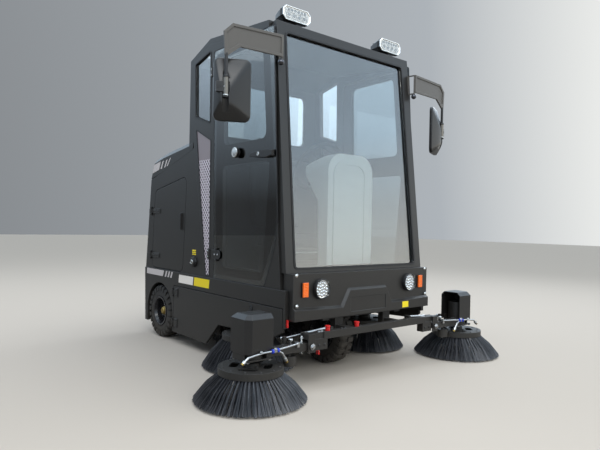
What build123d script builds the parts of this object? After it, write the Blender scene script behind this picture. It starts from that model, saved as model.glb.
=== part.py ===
from build123d import *
import math
import os

# Compact three-wheel road sweeper, millimetres.
# X points to the vehicle's left, Y runs back from the face of the front panel, Z is up from the ground.
# The written parts are moved along Y so that the origin is under the middle of the whole vehicle.

# Wheels
wheel_radius = 190.0
wheel_width = 112.0
rim_radius = 102.0
rear_axle_y = 1575.0
rear_wheel_inset = 6.0
front_wheel_y = 310.0
front_wheel_x = -45.0
lug_count = 24
hub_radius = 38.0
hub_length = 30.0
hub_bore_end = -8.0
spindle_radius = 20.0
spindle_clearance = 0.05
lug_height = 9.0

# Body shell
body_half = 581.0
belt_step = 7.0
upper_half = body_half - belt_step
wall = 28.0
sill_wall = 22.0
skirt_wall = 17.0
belt_z = 499.0
skirt_z = 405.0
skirt_bottom = 76.0
body_front = 54.0
body_rear = 1836.0
rear_foot_y = 1815.0
rear_foot_z = 95.0
panel_gap = 5.0
arch_radius = 212.0

# Chassis
rail_x = 300.0
rail_half = 25.0
rail_low = 320.0
rail_high = 385.0
crown_low = 388.0
crown_high = 400.0
turntable_low = 404.0
turntable_high = 428.0
kingpin_radius = 30.0

# Cab
screen_low_y = 71.0
screen_low_z = 589.0
screen_top_y = 215.0
screen_top_z = 1982.0
screen_half_low = upper_half - 9
screen_half_top = upper_half - 18
screen_border = 62.0
screen_depth = 45.0
glass_thickness = 6.0
roof_peak_y = 904.0
roof_peak_z = 2044.0
cab_rear_y = 1165.0
cab_rear_top_z = 1953.0
roof_thickness = 40.0
floor_z = 452.0
floor_thickness = 20.0

# Cab door
door_rear_low_y = 805.0
door_rear_top_y = 847.0
door_top_z = 1945.0
door_low_z = 504.0
door_inset = 25.0
door_frame_thickness = 26.0
door_hinge_y = 853.0
hinge_radius = 7.0
pin_radius = 4.0
hinge_half = 16.0
knuckle_length = 14.0
hinge_x = upper_half + hinge_radius + 1
skirt_hinge_x = body_half + hinge_radius + 1
skirt_hinge_y = 1341.0
service_hinge_y = 1742.0

# Rear body
hood_front_low_y = 913.0
hood_front_top_y = 1106.0
hood_front_top_z = 1395.0
hood_rear_top_y = 1763.0
hood_rear_top_z = 1218.0

# Front panel
panel_half = body_half - sill_wall - 1
panel_top = 589.0
panel_bottom = 341.0
panel_depth = 100.0
panel_wall = 14.0
crease_depth = 16.0

# Brushes
brush_tip_radius = 280.0
brush_ring_radius = 160.0
brush_ring_top = 165.0
brush_ring_height = 33.0
brush_floor_gap = 3.0
tuft_count = 44
front_brush_x = 843.0
front_brush_y = -24.0
mid_brush_x = body_half - 84
mid_brush_y = 507.0
shaft_radius = 12.0
roller_radius = 140.0
roller_half = 400.0
roller_y = 1010.0
roller_bracket_x = 410.0

# Front beam and arms
beam_y = -60.0
beam_depth = 40.0
beam_height = 30.0
beam_low = 259.0
arm_pivot_x = 515.0
arm_pivot_z = 226.0
arm_pin_radius = 8.0
arm_half = 20.0
strut_y = -12.0
cover_low = 234.0
cover_high = 420.0
cover_wall = 6.0

# Towing plate at the back of the chassis
tow_rear = 1872.0
tow_bore_y = 1850.0
tow_bore_radius = 11.0
tow_low = 332.0
tow_high = 344.0

length_front = front_brush_y - brush_tip_radius
middle_y = (length_front + tow_rear) / 2

os.makedirs("parts", exist_ok=True)


def block(x0, x1, y0, y1, z0, z1):
    """A box between two opposite corners."""
    return Pos((x0 + x1) / 2, (y0 + y1) / 2, (z0 + z1) / 2) * Box(abs(x1 - x0), abs(y1 - y0), abs(z1 - z0))


def side_slab(points, x0, x1, radius=0.0):
    """An outline given in (y, z), made into a slab between two x planes."""
    face = make_face(Polyline(*[(p[0], p[1]) for p in points], close=True))
    if radius > 0:
        face = fillet(face.vertices(), radius)
    return extrude(Plane.YZ.offset(min(x0, x1)) * face, abs(x1 - x0))


def front_slab(points, y0, y1, radius=0.0):
    """An outline given in (x, z), made into a slab between two y planes."""
    face = make_face(Polyline(*[(-p[0], p[1]) for p in points], close=True))
    if radius > 0:
        face = fillet(face.vertices(), radius)
    plane = Plane(origin=(0, y0, 0), x_dir=(-1, 0, 0), z_dir=(0, 1, 0))
    return extrude(plane * face, y1 - y0)


def rod(start, end, radius):
    """A round bar from one point to another."""
    a = Vector(*start)
    b = Vector(*end)
    plane = Plane(origin=a, z_dir=(b - a))
    return extrude(plane * Circle(radius), (b - a).length)


def both(shape):
    """The shape and its mirror image on the other side of the vehicle."""
    return [shape, mirror(shape, Plane.YZ)]


def hinge(centre, along, door_leaf, frame_leaf):
    """A door barrel with its leaf and bore, and the frame's two barrels with their leaf and pin."""
    def at(distance):
        return tuple(centre[k] + along[k] * distance for k in range(3))

    far = hinge_half + 1 + knuckle_length
    barrel = rod(at(-hinge_half), at(hinge_half), hinge_radius) + door_leaf
    barrel = barrel - rod(at(-far), at(far), pin_radius + spindle_clearance)
    low = rod(at(-far), at(-hinge_half - 1), hinge_radius)
    high = rod(at(hinge_half + 1), at(far), hinge_radius)
    return barrel, low + high + rod(at(-far), at(far), pin_radius) + frame_leaf


def side_hinge(face_x, hinge_y, hinge_z, plate_half, door_reach, frame_reach):
    """An upright hinge on the vehicle's right face; the door lies in front of it."""
    axis_x = face_x - hinge_radius - 1
    out = face_x - 6
    door_leaf = block(out, face_x, hinge_y - 20, hinge_y, hinge_z - hinge_half, hinge_z + hinge_half)
    door_leaf = door_leaf + block(out, face_x, hinge_y - door_reach, hinge_y - 16, hinge_z - plate_half,
                                  hinge_z + plate_half)
    frame_leaf = block(out, face_x, hinge_y, hinge_y + 12, hinge_z + hinge_half + 1,
                       hinge_z + hinge_half + knuckle_length)
    frame_leaf = frame_leaf + block(out, face_x, hinge_y, hinge_y + 12, hinge_z - hinge_half - knuckle_length,
                                    hinge_z - hinge_half - 1)
    if frame_reach > 12:
        frame_leaf = frame_leaf + block(out, face_x, hinge_y + 12, hinge_y + frame_reach, hinge_z - plate_half,
                                        hinge_z + plate_half)
    return hinge((axis_x, hinge_y, hinge_z), (0, 0, 1), door_leaf, frame_leaf)


def solids_of(items):
    found = []
    for item in items:
        if isinstance(item, (list, ShapeList)):
            found += solids_of(item)
        else:
            found += list(item.solids())
    return found


def write(name, *items):
    """Move the node's solids to the vehicle's origin and write them to one file."""
    solids = [Pos(0, -middle_y, 0) * s for s in solids_of(items)]
    shape = solids[0] if len(solids) == 1 else Compound(children=solids)
    export_step(shape, f"parts/{name}.step")


def write_sides(name, shape_of):
    """Write one node on the vehicle's right (x below 0) and its mirror on the left."""
    right = solids_of([shape_of])
    write(name + "_right", *right)
    write(name + "_left", *[mirror(s, Plane.YZ) for s in right])


# Wheels
def tyre():
    """Lugged tyre with its axis along X, centred on the origin."""
    half = wheel_width / 2
    crown = wheel_radius - lug_height
    profile = Polyline(
        (rim_radius, -half + 14), (rim_radius + 10, -half + 4), (crown - 42, -half + 2), (crown - 12, -half + 12),
        (crown, -half + 26), (crown, half - 26), (crown - 12, half - 12), (crown - 42, half - 2),
        (rim_radius + 10, half - 4), (rim_radius, half - 14), close=True)
    body = revolve(Plane.XY * make_face(profile), Axis.Y)
    pitch = 360 / lug_count
    lug_width = 0.56 * math.pi * 2 * wheel_radius / lug_count
    lug_top = math.sqrt(wheel_radius ** 2 - (lug_width / 2) ** 2)
    lug_face = make_face(Polyline((-half, crown - 34), (-half, lug_top - 12), (-half + 12, lug_top),
                                  (-4, lug_top), (-4, crown - 8), (-half + 22, crown - 18), close=True))
    lug = extrude(Plane.YZ.offset(-lug_width / 2) * lug_face, lug_width)
    lugs = []
    for i in range(lug_count):
        lugs.append(Rot(0, i * pitch, 0) * lug)
        lugs.append(Rot(0, (i + 0.5) * pitch, 0) * mirror(lug, Plane.XZ))
    return Rot(0, 0, -90) * (body + lugs)


def rim():
    """Steel disc wheel, its dished side facing -X, centred on the origin."""
    half = wheel_width / 2
    barrel = Polyline(
        (rim_radius, -half + 14), (rim_radius + 4, -half + 6), (rim_radius + 4, -half), (rim_radius - 8, -half + 2),
        (rim_radius - 16, -half + 22), (rim_radius - 18, 2), (52, 2), (hub_radius, -10), (hub_radius - 6, -18), (0, -18),
        (0, hub_bore_end), (spindle_radius + spindle_clearance, hub_bore_end), (spindle_radius + spindle_clearance, hub_length),
        (hub_radius, hub_length), (hub_radius + 8, 12), (rim_radius - 18, 12), (rim_radius - 16, half - 22),
        (rim_radius - 8, half - 2), (rim_radius + 4, half), (rim_radius + 4, half - 6), (rim_radius, half - 14), close=True)
    disc = revolve(Plane.XY * make_face(barrel), Axis.Y)
    holes = PolarLocations(68, 8) * Cylinder(9, 60)
    return Rot(0, 0, -90) * (disc - Rot(90, 0, 0) * Compound(children=list(holes)))


tyre_solid = tyre()
rim_solid = rim()
rear_wheel_x = body_half - rear_wheel_inset - wheel_width / 2
for side, sign in (("right", -1), ("left", 1)):
    place = Pos(sign * rear_wheel_x, rear_axle_y, wheel_radius) * Rot(0, 0, 0 if sign < 0 else 180)
    write(f"rear_tyre_{side}", place * tyre_solid)
    write(f"rear_rim_{side}", place * rim_solid)
front_place = Pos(front_wheel_x, front_wheel_y, wheel_radius)
write("front_tyre", front_place * tyre_solid)
write("front_rim", front_place * rim_solid)

# Rear axle: a beam, its saddles and a stub with a hub flange for each wheel
stub_in = rear_wheel_x - 70
hub_face = rear_wheel_x - hub_length - 4
axle = block(-stub_in, stub_in, rear_axle_y - 30, rear_axle_y + 30, wheel_radius - 30, wheel_radius + 30)
axle_solids = [axle]
for sign in (-1, 1):
    axle_solids.append(rod((sign * stub_in, rear_axle_y, wheel_radius), (sign * hub_face, rear_axle_y, wheel_radius), 34))
    axle_solids.append(rod((sign * stub_in, rear_axle_y, wheel_radius),
                           (sign * (rear_wheel_x - hub_bore_end - 4), rear_axle_y, wheel_radius), spindle_radius))
    axle_solids.append(block(sign * rail_x - 25, sign * rail_x + 25, rear_axle_y - 40, rear_axle_y + 40,
                             wheel_radius + 30, rail_low))
write("rear_axle", axle_solids[0] + axle_solids[1:])

# Chassis: two rails, cross members and the turntable plate above the front wheel
rails = [block(s * rail_x - rail_half, s * rail_x + rail_half, 40, 1790, rail_low, rail_high) for s in (-1, 1)]
members = []
for member_y in (60, 660, 1250, 1760):
    members.append(block(-rail_x, rail_x, member_y - 20, member_y + 20, rail_low + 8, rail_high - 8))
turntable = block(-rail_x - rail_half, rail_x + rail_half, front_wheel_y - 110, front_wheel_y + 110,
                  turntable_low, turntable_high)
kingpin_bore = Pos(0, front_wheel_y, turntable_low) * Cylinder(kingpin_radius + spindle_clearance, 100)
turntable = turntable - kingpin_bore
for s in (-1, 1):
    members.append(block(s * rail_x - rail_half, s * rail_x + rail_half, front_wheel_y - 110, front_wheel_y + 110,
                         rail_high, turntable_low))
outrigger_half = body_half - sill_wall - 9
outriggers = []
for member_y in (140, 660, roller_y, 1250, 1760):
    for s in (-1, 1):
        outriggers.append(block(s * rail_x, s * outrigger_half, member_y - 15, member_y + 15, rail_high - 40, rail_high))
chassis = rails[0] + rails[1] + members + turntable + outriggers
floor_posts = []
for member_y in (140, 660):
    for s in (-1, 1):
        floor_posts.append(block(s * outrigger_half, s * (outrigger_half - 20), member_y - 15, member_y + 15, rail_high,
                                 floor_z - floor_thickness))
roller_brackets = []
for s in (-1, 1):
    plate = block(s * roller_bracket_x, s * (roller_bracket_x + 12), roller_y - 45, roller_y + 45, roller_radius - 40,
                  rail_high - 40)
    bore = Pos(s * roller_bracket_x, roller_y, roller_radius + brush_floor_gap) * Rot(0, 90, 0) * Cylinder(
        spindle_radius + spindle_clearance, 100)
    roller_brackets.append(plate - bore)
tow_plate = block(-40, 40, 1750, tow_rear, tow_low, tow_high)
tow_plate = tow_plate - Pos(0, tow_bore_y, tow_low) * Cylinder(tow_bore_radius, 60)
write("chassis_frame", chassis + floor_posts + roller_brackets + tow_plate)

# Steered fork: a crown disc on its kingpin, one leg beside the wheel, a spindle and a hub motor
fork_leg_in = front_wheel_x + wheel_width / 2 + 10
fork_leg_out = fork_leg_in + 24
fork = Pos(0, front_wheel_y, (crown_low + crown_high) / 2) * Cylinder(92, crown_high - crown_low)
kingpin = rod((0, front_wheel_y, crown_low), (0, front_wheel_y, turntable_high - 2), kingpin_radius)
leg = block(fork_leg_in, fork_leg_out, front_wheel_y - 38, front_wheel_y + 38, wheel_radius - 45, crown_low)
shoulder = rod((fork_leg_in, front_wheel_y, wheel_radius), (front_wheel_x + hub_length + 4, front_wheel_y, wheel_radius), 34)
spindle = rod((fork_leg_in, front_wheel_y, wheel_radius), (front_wheel_x + hub_bore_end + 4, front_wheel_y, wheel_radius),
              spindle_radius)
motor = rod((fork_leg_out, front_wheel_y, wheel_radius), (fork_leg_out + 80, front_wheel_y, wheel_radius), 68)
write("front_fork", fork + kingpin + leg + shoulder + spindle + motor)


# Slanted lines of the body, each giving y at a height
def screen_front_y(z):
    return screen_low_y + (z - screen_low_z) * (screen_top_y - screen_low_y) / (screen_top_z - screen_low_z)


def screen_rear_y(z):
    return screen_front_y(z) + screen_depth


def seam_y(z):
    return hood_front_low_y + (z - belt_z) * (hood_front_top_y - hood_front_low_y) / (hood_front_top_z - belt_z)


def hood_top_z(y):
    return hood_front_top_z + (y - hood_front_top_y) * (hood_rear_top_z - hood_front_top_z) / (
        hood_rear_top_y - hood_front_top_y)


def door_rear_y(z):
    return door_rear_low_y + (z - door_low_z) * (door_rear_top_y - door_rear_low_y) / (door_top_z - door_low_z)


roof_front_y = screen_rear_y(screen_top_z) + 1
roof_front_z = screen_top_z + 6


def roof_top_z(y):
    return roof_front_z + (y - roof_front_y) * (roof_peak_z - roof_front_z) / (roof_peak_y - roof_front_y)


def rear_panel_y(z):
    return rear_foot_y + (z - rear_foot_z) * (body_rear - rear_foot_y) / (belt_z - rear_foot_z)


# Lower body: sills with the rear wheel arches, and the panel across the back
sill_points = [(body_front, belt_z), (body_front, 300), (body_front + 16, 300), (body_front + 16, skirt_z),
               (1341, skirt_z), (1341, skirt_bottom), (rear_foot_y, rear_foot_z), (body_rear, belt_z)]
sill = side_slab(sill_points, -body_half, -body_half + sill_wall)
arch = Pos(-body_half, rear_axle_y - 10, wheel_radius) * Rot(0, 90, 0) * Cylinder(arch_radius, 200)
arch_low = block(-body_half - 50, -body_half + wall + 2, rear_axle_y - 10 - arch_radius, rear_axle_y - 10 + arch_radius,
                 0, wheel_radius)
sill = sill - arch - arch_low
skirt_hinges = [side_hinge(-body_half, skirt_hinge_y, hinge_z, 30, 66, 12) for hinge_z in (142, 356)]
sill = sill + [frame_leaf for door_leaf, frame_leaf in skirt_hinges]
rear_panel = side_slab([(body_rear, belt_z), (rear_foot_y, rear_foot_z), (rear_foot_y - wall, rear_foot_z),
                        (body_rear - wall, belt_z)], -body_half + sill_wall, body_half - sill_wall)
rear_panel = rear_panel - block(-46, 46, body_rear - 100, body_rear + 50, tow_low - 6, tow_high + 6)
write("lower_body", sill + mirror(sill, Plane.YZ) + rear_panel)

# Skirt doors
skirt_points = [(1336, skirt_z - panel_gap), (1336, skirt_bottom), (879, skirt_bottom - 2), (726, 217), (143, 243),
                (76, 276), (76, skirt_z - panel_gap)]
skirt = side_slab(skirt_points, -body_half, -body_half + skirt_wall)
write_sides("skirt_door", skirt + [door_leaf for door_leaf, frame_leaf in skirt_hinges])

# Windscreen frame and windscreen
screen_slope = math.degrees(math.atan2(screen_top_y - screen_low_y, screen_top_z - screen_low_z))
screen_length = math.hypot(screen_top_y - screen_low_y, screen_top_z - screen_low_z)
screen_plane = Plane(origin=(0, screen_low_y, screen_low_z), x_dir=(-1, 0, 0),
                     z_dir=(0, math.cos(math.radians(screen_slope)), -math.sin(math.radians(screen_slope))))
outer = make_face(Polyline((-screen_half_low, 0), (screen_half_low, 0), (screen_half_top, screen_length),
                           (-screen_half_top, screen_length), close=True))
inner_face = make_face(Polyline((-screen_half_low + screen_border, 24), (screen_half_low - screen_border, 24),
                                (screen_half_top - screen_border, screen_length - 56),
                                (-screen_half_top + screen_border, screen_length - 56), close=True))
inner_face = fillet(inner_face.vertices(), 22)
screen_ring = extrude(screen_plane * outer, screen_depth) - extrude(screen_plane * inner_face, screen_depth * 2)
screen_ring = screen_ring - extrude(screen_plane * inner_face, -20)
level_cut = block(-700, 700, 0, 300, screen_low_z - 60, screen_low_z)
screen_ring = screen_ring - level_cut
write("windscreen_frame", screen_ring)
pane = extrude(screen_plane.offset(14) * inner_face, glass_thickness)
write("windscreen", pane)

# Cab roof
roof_points = [(roof_front_y, roof_front_z), (roof_peak_y, roof_peak_z), (cab_rear_y, cab_rear_top_z),
               (cab_rear_y, cab_rear_top_z - roof_thickness), (roof_peak_y, roof_peak_z - roof_thickness),
               (roof_front_y, roof_front_z - roof_thickness)]
roof = side_slab(roof_points, -upper_half, upper_half)
write("cab_roof", roof)

# Cab doors: a full glass sheet outside a slimmer frame with two panes
front_edge_low = (140.0, 780.0)
front_edge_top = 214.0
glass_points = [(door_rear_low_y, door_low_z), (door_rear_top_y, door_top_z), (front_edge_top, door_top_z), front_edge_low,
                (258, door_low_z)]
frame_low_z = door_low_z + door_inset
frame_top_z = door_top_z - door_inset
frame_points = [(door_rear_y(frame_low_z) - door_inset, frame_low_z), (door_rear_y(frame_top_z) - door_inset, frame_top_z),
                (screen_rear_y(frame_top_z) + 6, frame_top_z), (screen_rear_y(835) + 6, 835), (290, frame_low_z)]


def rounded_outline(points, corner, sweep, bend, grow=0.0):
    """A door outline with small corner radii and one long bend at its fourth point."""
    face = make_face(Polyline(*points, close=True))
    vertex = min(face.vertices(), key=lambda v: math.hypot(v.X - bend[0], v.Y - bend[1]))
    face = fillet(vertex, sweep)
    small = [v for v in face.vertices() if any(math.hypot(v.X - p[0], v.Y - p[1]) < 1 for p in points)]
    face = fillet(small, corner)
    if grow:
        face = offset(face, grow, kind=Kind.ARC)
    return face


glass_face = rounded_outline(glass_points, 14, 600, front_edge_low)
frame_face = rounded_outline(frame_points, 20, 400, frame_points[3])
glass_hole = rounded_outline(glass_points, 14, 600, front_edge_low, panel_gap)
frame_hole = rounded_outline(frame_points, 20, 400, frame_points[3], panel_gap)
upper_pane = fillet(make_face(Polyline((716, 1333), (738, 1880), (318, 1880), (264, 1333), close=True)).vertices(), 40)
lower_pane = fillet(make_face(Polyline((705, 577), (722, 1205), (228, 1205), (278, 577), close=True)).vertices(), 32)
glass_out = -upper_half
glass_in = glass_out + glass_thickness
frame_in = glass_in + door_frame_thickness
side_plane = Plane.YZ.offset(glass_out)
door_glass = extrude(side_plane * glass_face, glass_thickness)
door_frame = extrude(Plane.YZ.offset(glass_in) * frame_face, door_frame_thickness)
door_frame = door_frame - extrude(Plane.YZ.offset(glass_in) * upper_pane, door_frame_thickness)
door_frame = door_frame - extrude(Plane.YZ.offset(glass_in) * lower_pane, door_frame_thickness)
door_hinges = [side_hinge(-upper_half, door_hinge_y, hinge_z, 30, 110, 30) for hinge_z in (652, 1820)]
knob_y = 545.0
knob_z = 1272.0
knob = rod((glass_out, knob_y, knob_z), (glass_out - 10, knob_y, knob_z), 20)
knob = knob + rod((glass_out - 10, knob_y, knob_z), (glass_out - 26, knob_y, knob_z), 27)
latch_points = [(178, 1226), (178, 1256), (236, 1262), (385, 1250), (385, 1234), (236, 1220)]
latch = side_slab(latch_points, glass_out - 20, glass_out - 8) + block(glass_out - 10, glass_out, 184, 232, 1224, 1258)
write_sides("cab_door", [door_frame, knob, latch] + [door_leaf for door_leaf, frame_leaf in door_hinges])
write_sides("door_glass", door_glass)

# Cab side frames with the door and quarter openings
frame_inside = -upper_half + 36
roof_front_low = roof_front_z - roof_thickness
side_points = [(screen_rear_y(belt_z) + 0.3, belt_z), (screen_rear_y(roof_front_low) + 0.3, roof_front_low),
               (roof_front_y, roof_front_low), (roof_peak_y, roof_peak_z - roof_thickness),
               (cab_rear_y, cab_rear_top_z - roof_thickness), (cab_rear_y, hood_top_z(cab_rear_y)),
               (hood_front_top_y, hood_front_top_z), (hood_front_low_y, belt_z)]
side_frame = side_slab(side_points, -upper_half, frame_inside)
side_frame = side_frame - extrude(Plane.YZ.offset(-upper_half - 1) * glass_hole, glass_thickness + 2)
side_frame = side_frame - extrude(Plane.YZ.offset(-upper_half - 1) * frame_hole, 80)
quarter_face = fillet(make_face(Polyline((1097, 1918), (1082, 1562), (884, 1495), (893, 1965), close=True)).vertices(), 14)
vent_face = fillet(make_face(Polyline((1067, 1473), (874, 1384), (862, 512), (908, 512), close=True)).vertices(), 4)
side_frame = side_frame - extrude(Plane.YZ.offset(-upper_half - 1) * quarter_face, 80)
side_frame = side_frame - extrude(Plane.YZ.offset(-upper_half - 1) * vent_face, 80)
side_frame = side_frame + [frame_leaf for door_leaf, frame_leaf in door_hinges]
write("cab_side_frames", both(side_frame))
quarter_pane = extrude(Plane.YZ.offset(-upper_half + 10) * quarter_face, glass_thickness)
vent_plate = extrude(Plane.YZ.offset(-upper_half + 3) * vent_face, 10)
write("vent_panels", both(vent_plate))

# Cab rear wall with its window, and the slanted bulkhead below it
upper_wall = side_slab([(cab_rear_y - wall, hood_top_z(cab_rear_y - wall)), (cab_rear_y, hood_top_z(cab_rear_y)),
                        (cab_rear_y, cab_rear_top_z - roof_thickness), (cab_rear_y - wall, cab_rear_top_z - roof_thickness)],
                       frame_inside, -frame_inside)
window_half = upper_half - 144
rear_opening = fillet(make_face(Polyline((-window_half, 1470), (window_half, 1470), (window_half, 1860), (-window_half, 1860),
                                         close=True)).vertices(), 40)
rear_plane = Plane(origin=(0, cab_rear_y - wall, 0), x_dir=(-1, 0, 0), z_dir=(0, 1, 0))
upper_wall = upper_wall - extrude(rear_plane * rear_opening, wall)
bulkhead_top = hood_front_top_z - wall - 22
bulkhead = side_slab([(seam_y(belt_z), belt_z), (seam_y(bulkhead_top), bulkhead_top),
                      (seam_y(bulkhead_top) + wall, bulkhead_top), (seam_y(belt_z) + wall, belt_z)],
                     -upper_half + wall, upper_half - wall)
write("cab_rear_wall", upper_wall, bulkhead)
rear_pane = extrude(rear_plane.offset(11) * rear_opening, glass_thickness)
write("cab_windows", both(quarter_pane), rear_pane)

# Rear body: side walls with the service openings, sloping top with bevelled shoulders, and the back
service_points = [(1227, 509), (1192, 1168), (1690, 1085), (1727, 509)]
service_face = fillet(make_face(Polyline(*service_points, close=True)).vertices(), 46)
service_hole = offset(service_face, panel_gap, kind=Kind.ARC)
hood_side = side_slab([(hood_front_low_y, belt_z), (hood_front_top_y, hood_front_top_z),
                       (hood_rear_top_y, hood_rear_top_z), (body_rear, belt_z)], -upper_half, upper_half)
hood_void = side_slab([(hood_front_low_y - 60, belt_z - 40), (hood_front_top_y - 60, hood_front_top_z - wall),
                       (hood_rear_top_y - wall, hood_rear_top_z - wall), (body_rear - wall, belt_z - 40)],
                      -upper_half + wall, upper_half - wall)
bevel = 44.0
top_run = [e for e in hood_side.edges().filter_by(lambda e: abs(abs(e.center().X) - upper_half) < 0.1
           and abs(e.center().Z - (hood_front_top_z + hood_rear_top_z) / 2) < 5)]
hood = chamfer(top_run, bevel) - hood_void
hood = hood - extrude(Plane.YZ.offset(-upper_half - 1) * service_hole, wall + 2)
hood = hood - extrude(Plane.YZ.offset(upper_half - wall - 1) * service_hole, wall + 2)
tail_half = upper_half - 134
tail_low = 530.0
tail_high = 1130.0
tail_cut = block(-tail_half - panel_gap, tail_half + panel_gap, 1700, body_rear + 50, tail_low - panel_gap,
                 tail_high + panel_gap)
service_hinges = [side_hinge(-upper_half, service_hinge_y, hinge_z, 16, 142, 40) for hinge_z in (600, 933)]
service_leaves = [frame_leaf for door_leaf, frame_leaf in service_hinges]
service_door = extrude(Plane.YZ.offset(-upper_half) * service_face, wall)
service_handle = block(-upper_half - 12, -upper_half, 1244, 1262, 800, 916)
write_sides("service_door", [service_door + service_handle] + [door_leaf for door_leaf, frame_leaf in service_hinges])


def rear_face_y(z):
    return body_rear + (z - belt_z) * (hood_rear_top_y - body_rear) / (hood_rear_top_z - belt_z)


tail = side_slab([(rear_face_y(tail_low), tail_low), (rear_face_y(tail_high), tail_high),
                  (rear_face_y(tail_high) - wall, tail_high), (rear_face_y(tail_low) - wall, tail_low)], -tail_half, tail_half)
for i in range(6):
    slot_z = 880 + i * 32
    tail = tail - block(-180, 180, rear_face_y(slot_z) - 8, rear_face_y(slot_z) + 20, slot_z, slot_z + 12)
tail = tail + side_slab([(rear_face_y(600) - 1, 600), (rear_face_y(600) + 24, 606), (rear_face_y(600) + 22, 630),
                         (rear_face_y(640) - 1, 640)], -80, 80)
tail_hinge_z = tail_high + 4
tail_hinge_y = rear_face_y(tail_hinge_z) + 9
tail_leaf = [(rear_face_y(1080), 1080), (tail_hinge_y, tail_hinge_z), (rear_face_y(tail_high - 2), tail_high - 2)]
tail_mount = [(rear_face_y(tail_high + 8) - 1, tail_high + 8), (tail_hinge_y, tail_hinge_z), (tail_hinge_y + 3, tail_hinge_z + 6),
              (rear_face_y(tail_high + 44) - 1, tail_high + 44)]
tail_hinges = []
for x in (-300, 300):
    leaf_door = side_slab(tail_leaf, x - hinge_half, x + hinge_half)
    leaf_low = side_slab(tail_mount, x - hinge_half - knuckle_length, x - hinge_half - 1)
    leaf_high = side_slab(tail_mount, x + hinge_half + 1, x + hinge_half + knuckle_length)
    tail_hinges.append(hinge((x, tail_hinge_y, tail_hinge_z), (1, 0, 0), leaf_door, leaf_low + leaf_high))
write("rear_door", tail + [door_leaf for door_leaf, frame_leaf in tail_hinges])
lock_boss = rod((-upper_half + 2, 1060, 588), (-upper_half - 9, 1060, 588), 30)
hood = (hood - tail_cut) + both(lock_boss) + service_leaves + [mirror(leaf, Plane.YZ) for leaf in service_leaves]
write("rear_body", hood + [frame_leaf for door_leaf, frame_leaf in tail_hinges])

# Inside the rear body
write("battery_pack", block(-290, 290, 1290, 1480, rail_high, 760))
write("hopper", side_slab([(1520, rail_high), (1775, rail_high), (1740, 900), (1520, 940)], -430, 430))

# Cab floor with its front bulkhead
floor = block(-body_half + wall, body_half - wall, panel_depth + 12, hood_front_low_y, floor_z - floor_thickness, floor_z)
front_wall = block(frame_inside, -frame_inside, panel_depth + 0.3, panel_depth + 12, floor_z - floor_thickness,
                   screen_low_z - 3)
write("cab_floor", floor + front_wall)

# Front panel: an open-backed box whose lower part stands proud along a crease
panel = block(-panel_half, panel_half, crease_depth, panel_depth, panel_bottom, panel_top)
panel = panel - block(-panel_half + panel_wall, panel_half - panel_wall, crease_depth + panel_wall, panel_depth + 50,
                      panel_bottom - 50, panel_top - panel_wall)
crease = [(-panel_half - 60, panel_bottom - 60), (-panel_half - 60, 412), (-212, 401), (-158, 496), (158, 496), (212, 401),
          (panel_half + 60, 412), (panel_half + 60, panel_bottom - 60)]
crease_face = make_face(Polyline(*[(-p[0], p[1]) for p in crease], close=True))
crease_plane = Plane(origin=(0, crease_depth, 0), x_dir=(1, 0, 0), z_dir=(0, -1, 0))
proud = extrude(crease_plane * crease_face, crease_depth, taper=35)
proud = proud & block(-panel_half, panel_half, 0, crease_depth, panel_bottom, 560)
name_plate = fillet(block(-148, 148, -5, 3, 362, 444).edges().filter_by(Axis.Y), 4)
write("front_panel", (panel + proud) - name_plate)

# Lamps
lamp_x = panel_half - 190
indicator_x = panel_half - 77
lamp_z = 504.0
lamp_solids = []
for s in (-1, 1):
    lamp = rod((s * lamp_x, crease_depth - 0.1, lamp_z), (s * lamp_x, -10, lamp_z), 55)
    lamp_solids.append(fillet(lamp.edges().group_by(Axis.Y)[0], 8))
write("headlamps", lamp_solids)
write("indicators", [block(s * indicator_x - 20, s * indicator_x + 20, 0, crease_depth, lamp_z - 40, lamp_z + 40)
                     for s in (-1, 1)])
work_x = 400.0
work_z = 2048.0
work_solids = []
for s in (-1, 1):
    face_points = [(-102, -18), (-80, -41), (80, -41), (102, -18), (102, 18), (80, 41), (-80, 41), (-102, 18)]
    front_section = Plane(origin=(s * work_x, 226, work_z), x_dir=(-1, 0, 0), z_dir=(0, 1, 0)) * make_face(
        Polyline(*face_points, close=True))
    mid_section = Pos(0, 34, 0) * front_section
    rear_section = Plane(origin=(s * work_x, 340, work_z + 2), x_dir=(-1, 0, 0), z_dir=(0, 1, 0)) * make_face(
        Polyline(*[(0.72 * p[0], 0.6 * p[1]) for p in face_points], close=True))
    body = extrude(front_section, 34) + loft([mid_section, rear_section], ruled=True)
    foot = side_slab([(285, roof_top_z(285)), (325, roof_top_z(325)), (325, work_z - 20), (285, work_z - 20)],
                     s * work_x - 30, s * work_x + 30)
    work_solids.append(body + foot)
write("work_lamps", work_solids)
tail_lamps = []
for s in (-1, 1):
    lamp_middle = s * (body_half - 81)
    lamp = side_slab([(rear_panel_y(300), 300), (rear_panel_y(420), 420), (rear_panel_y(420) + 14, 420),
                      (rear_panel_y(300) + 14, 300)], lamp_middle - 40, lamp_middle + 40)
    tail_lamps.append(lamp)
write("tail_lamps", tail_lamps)

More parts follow.
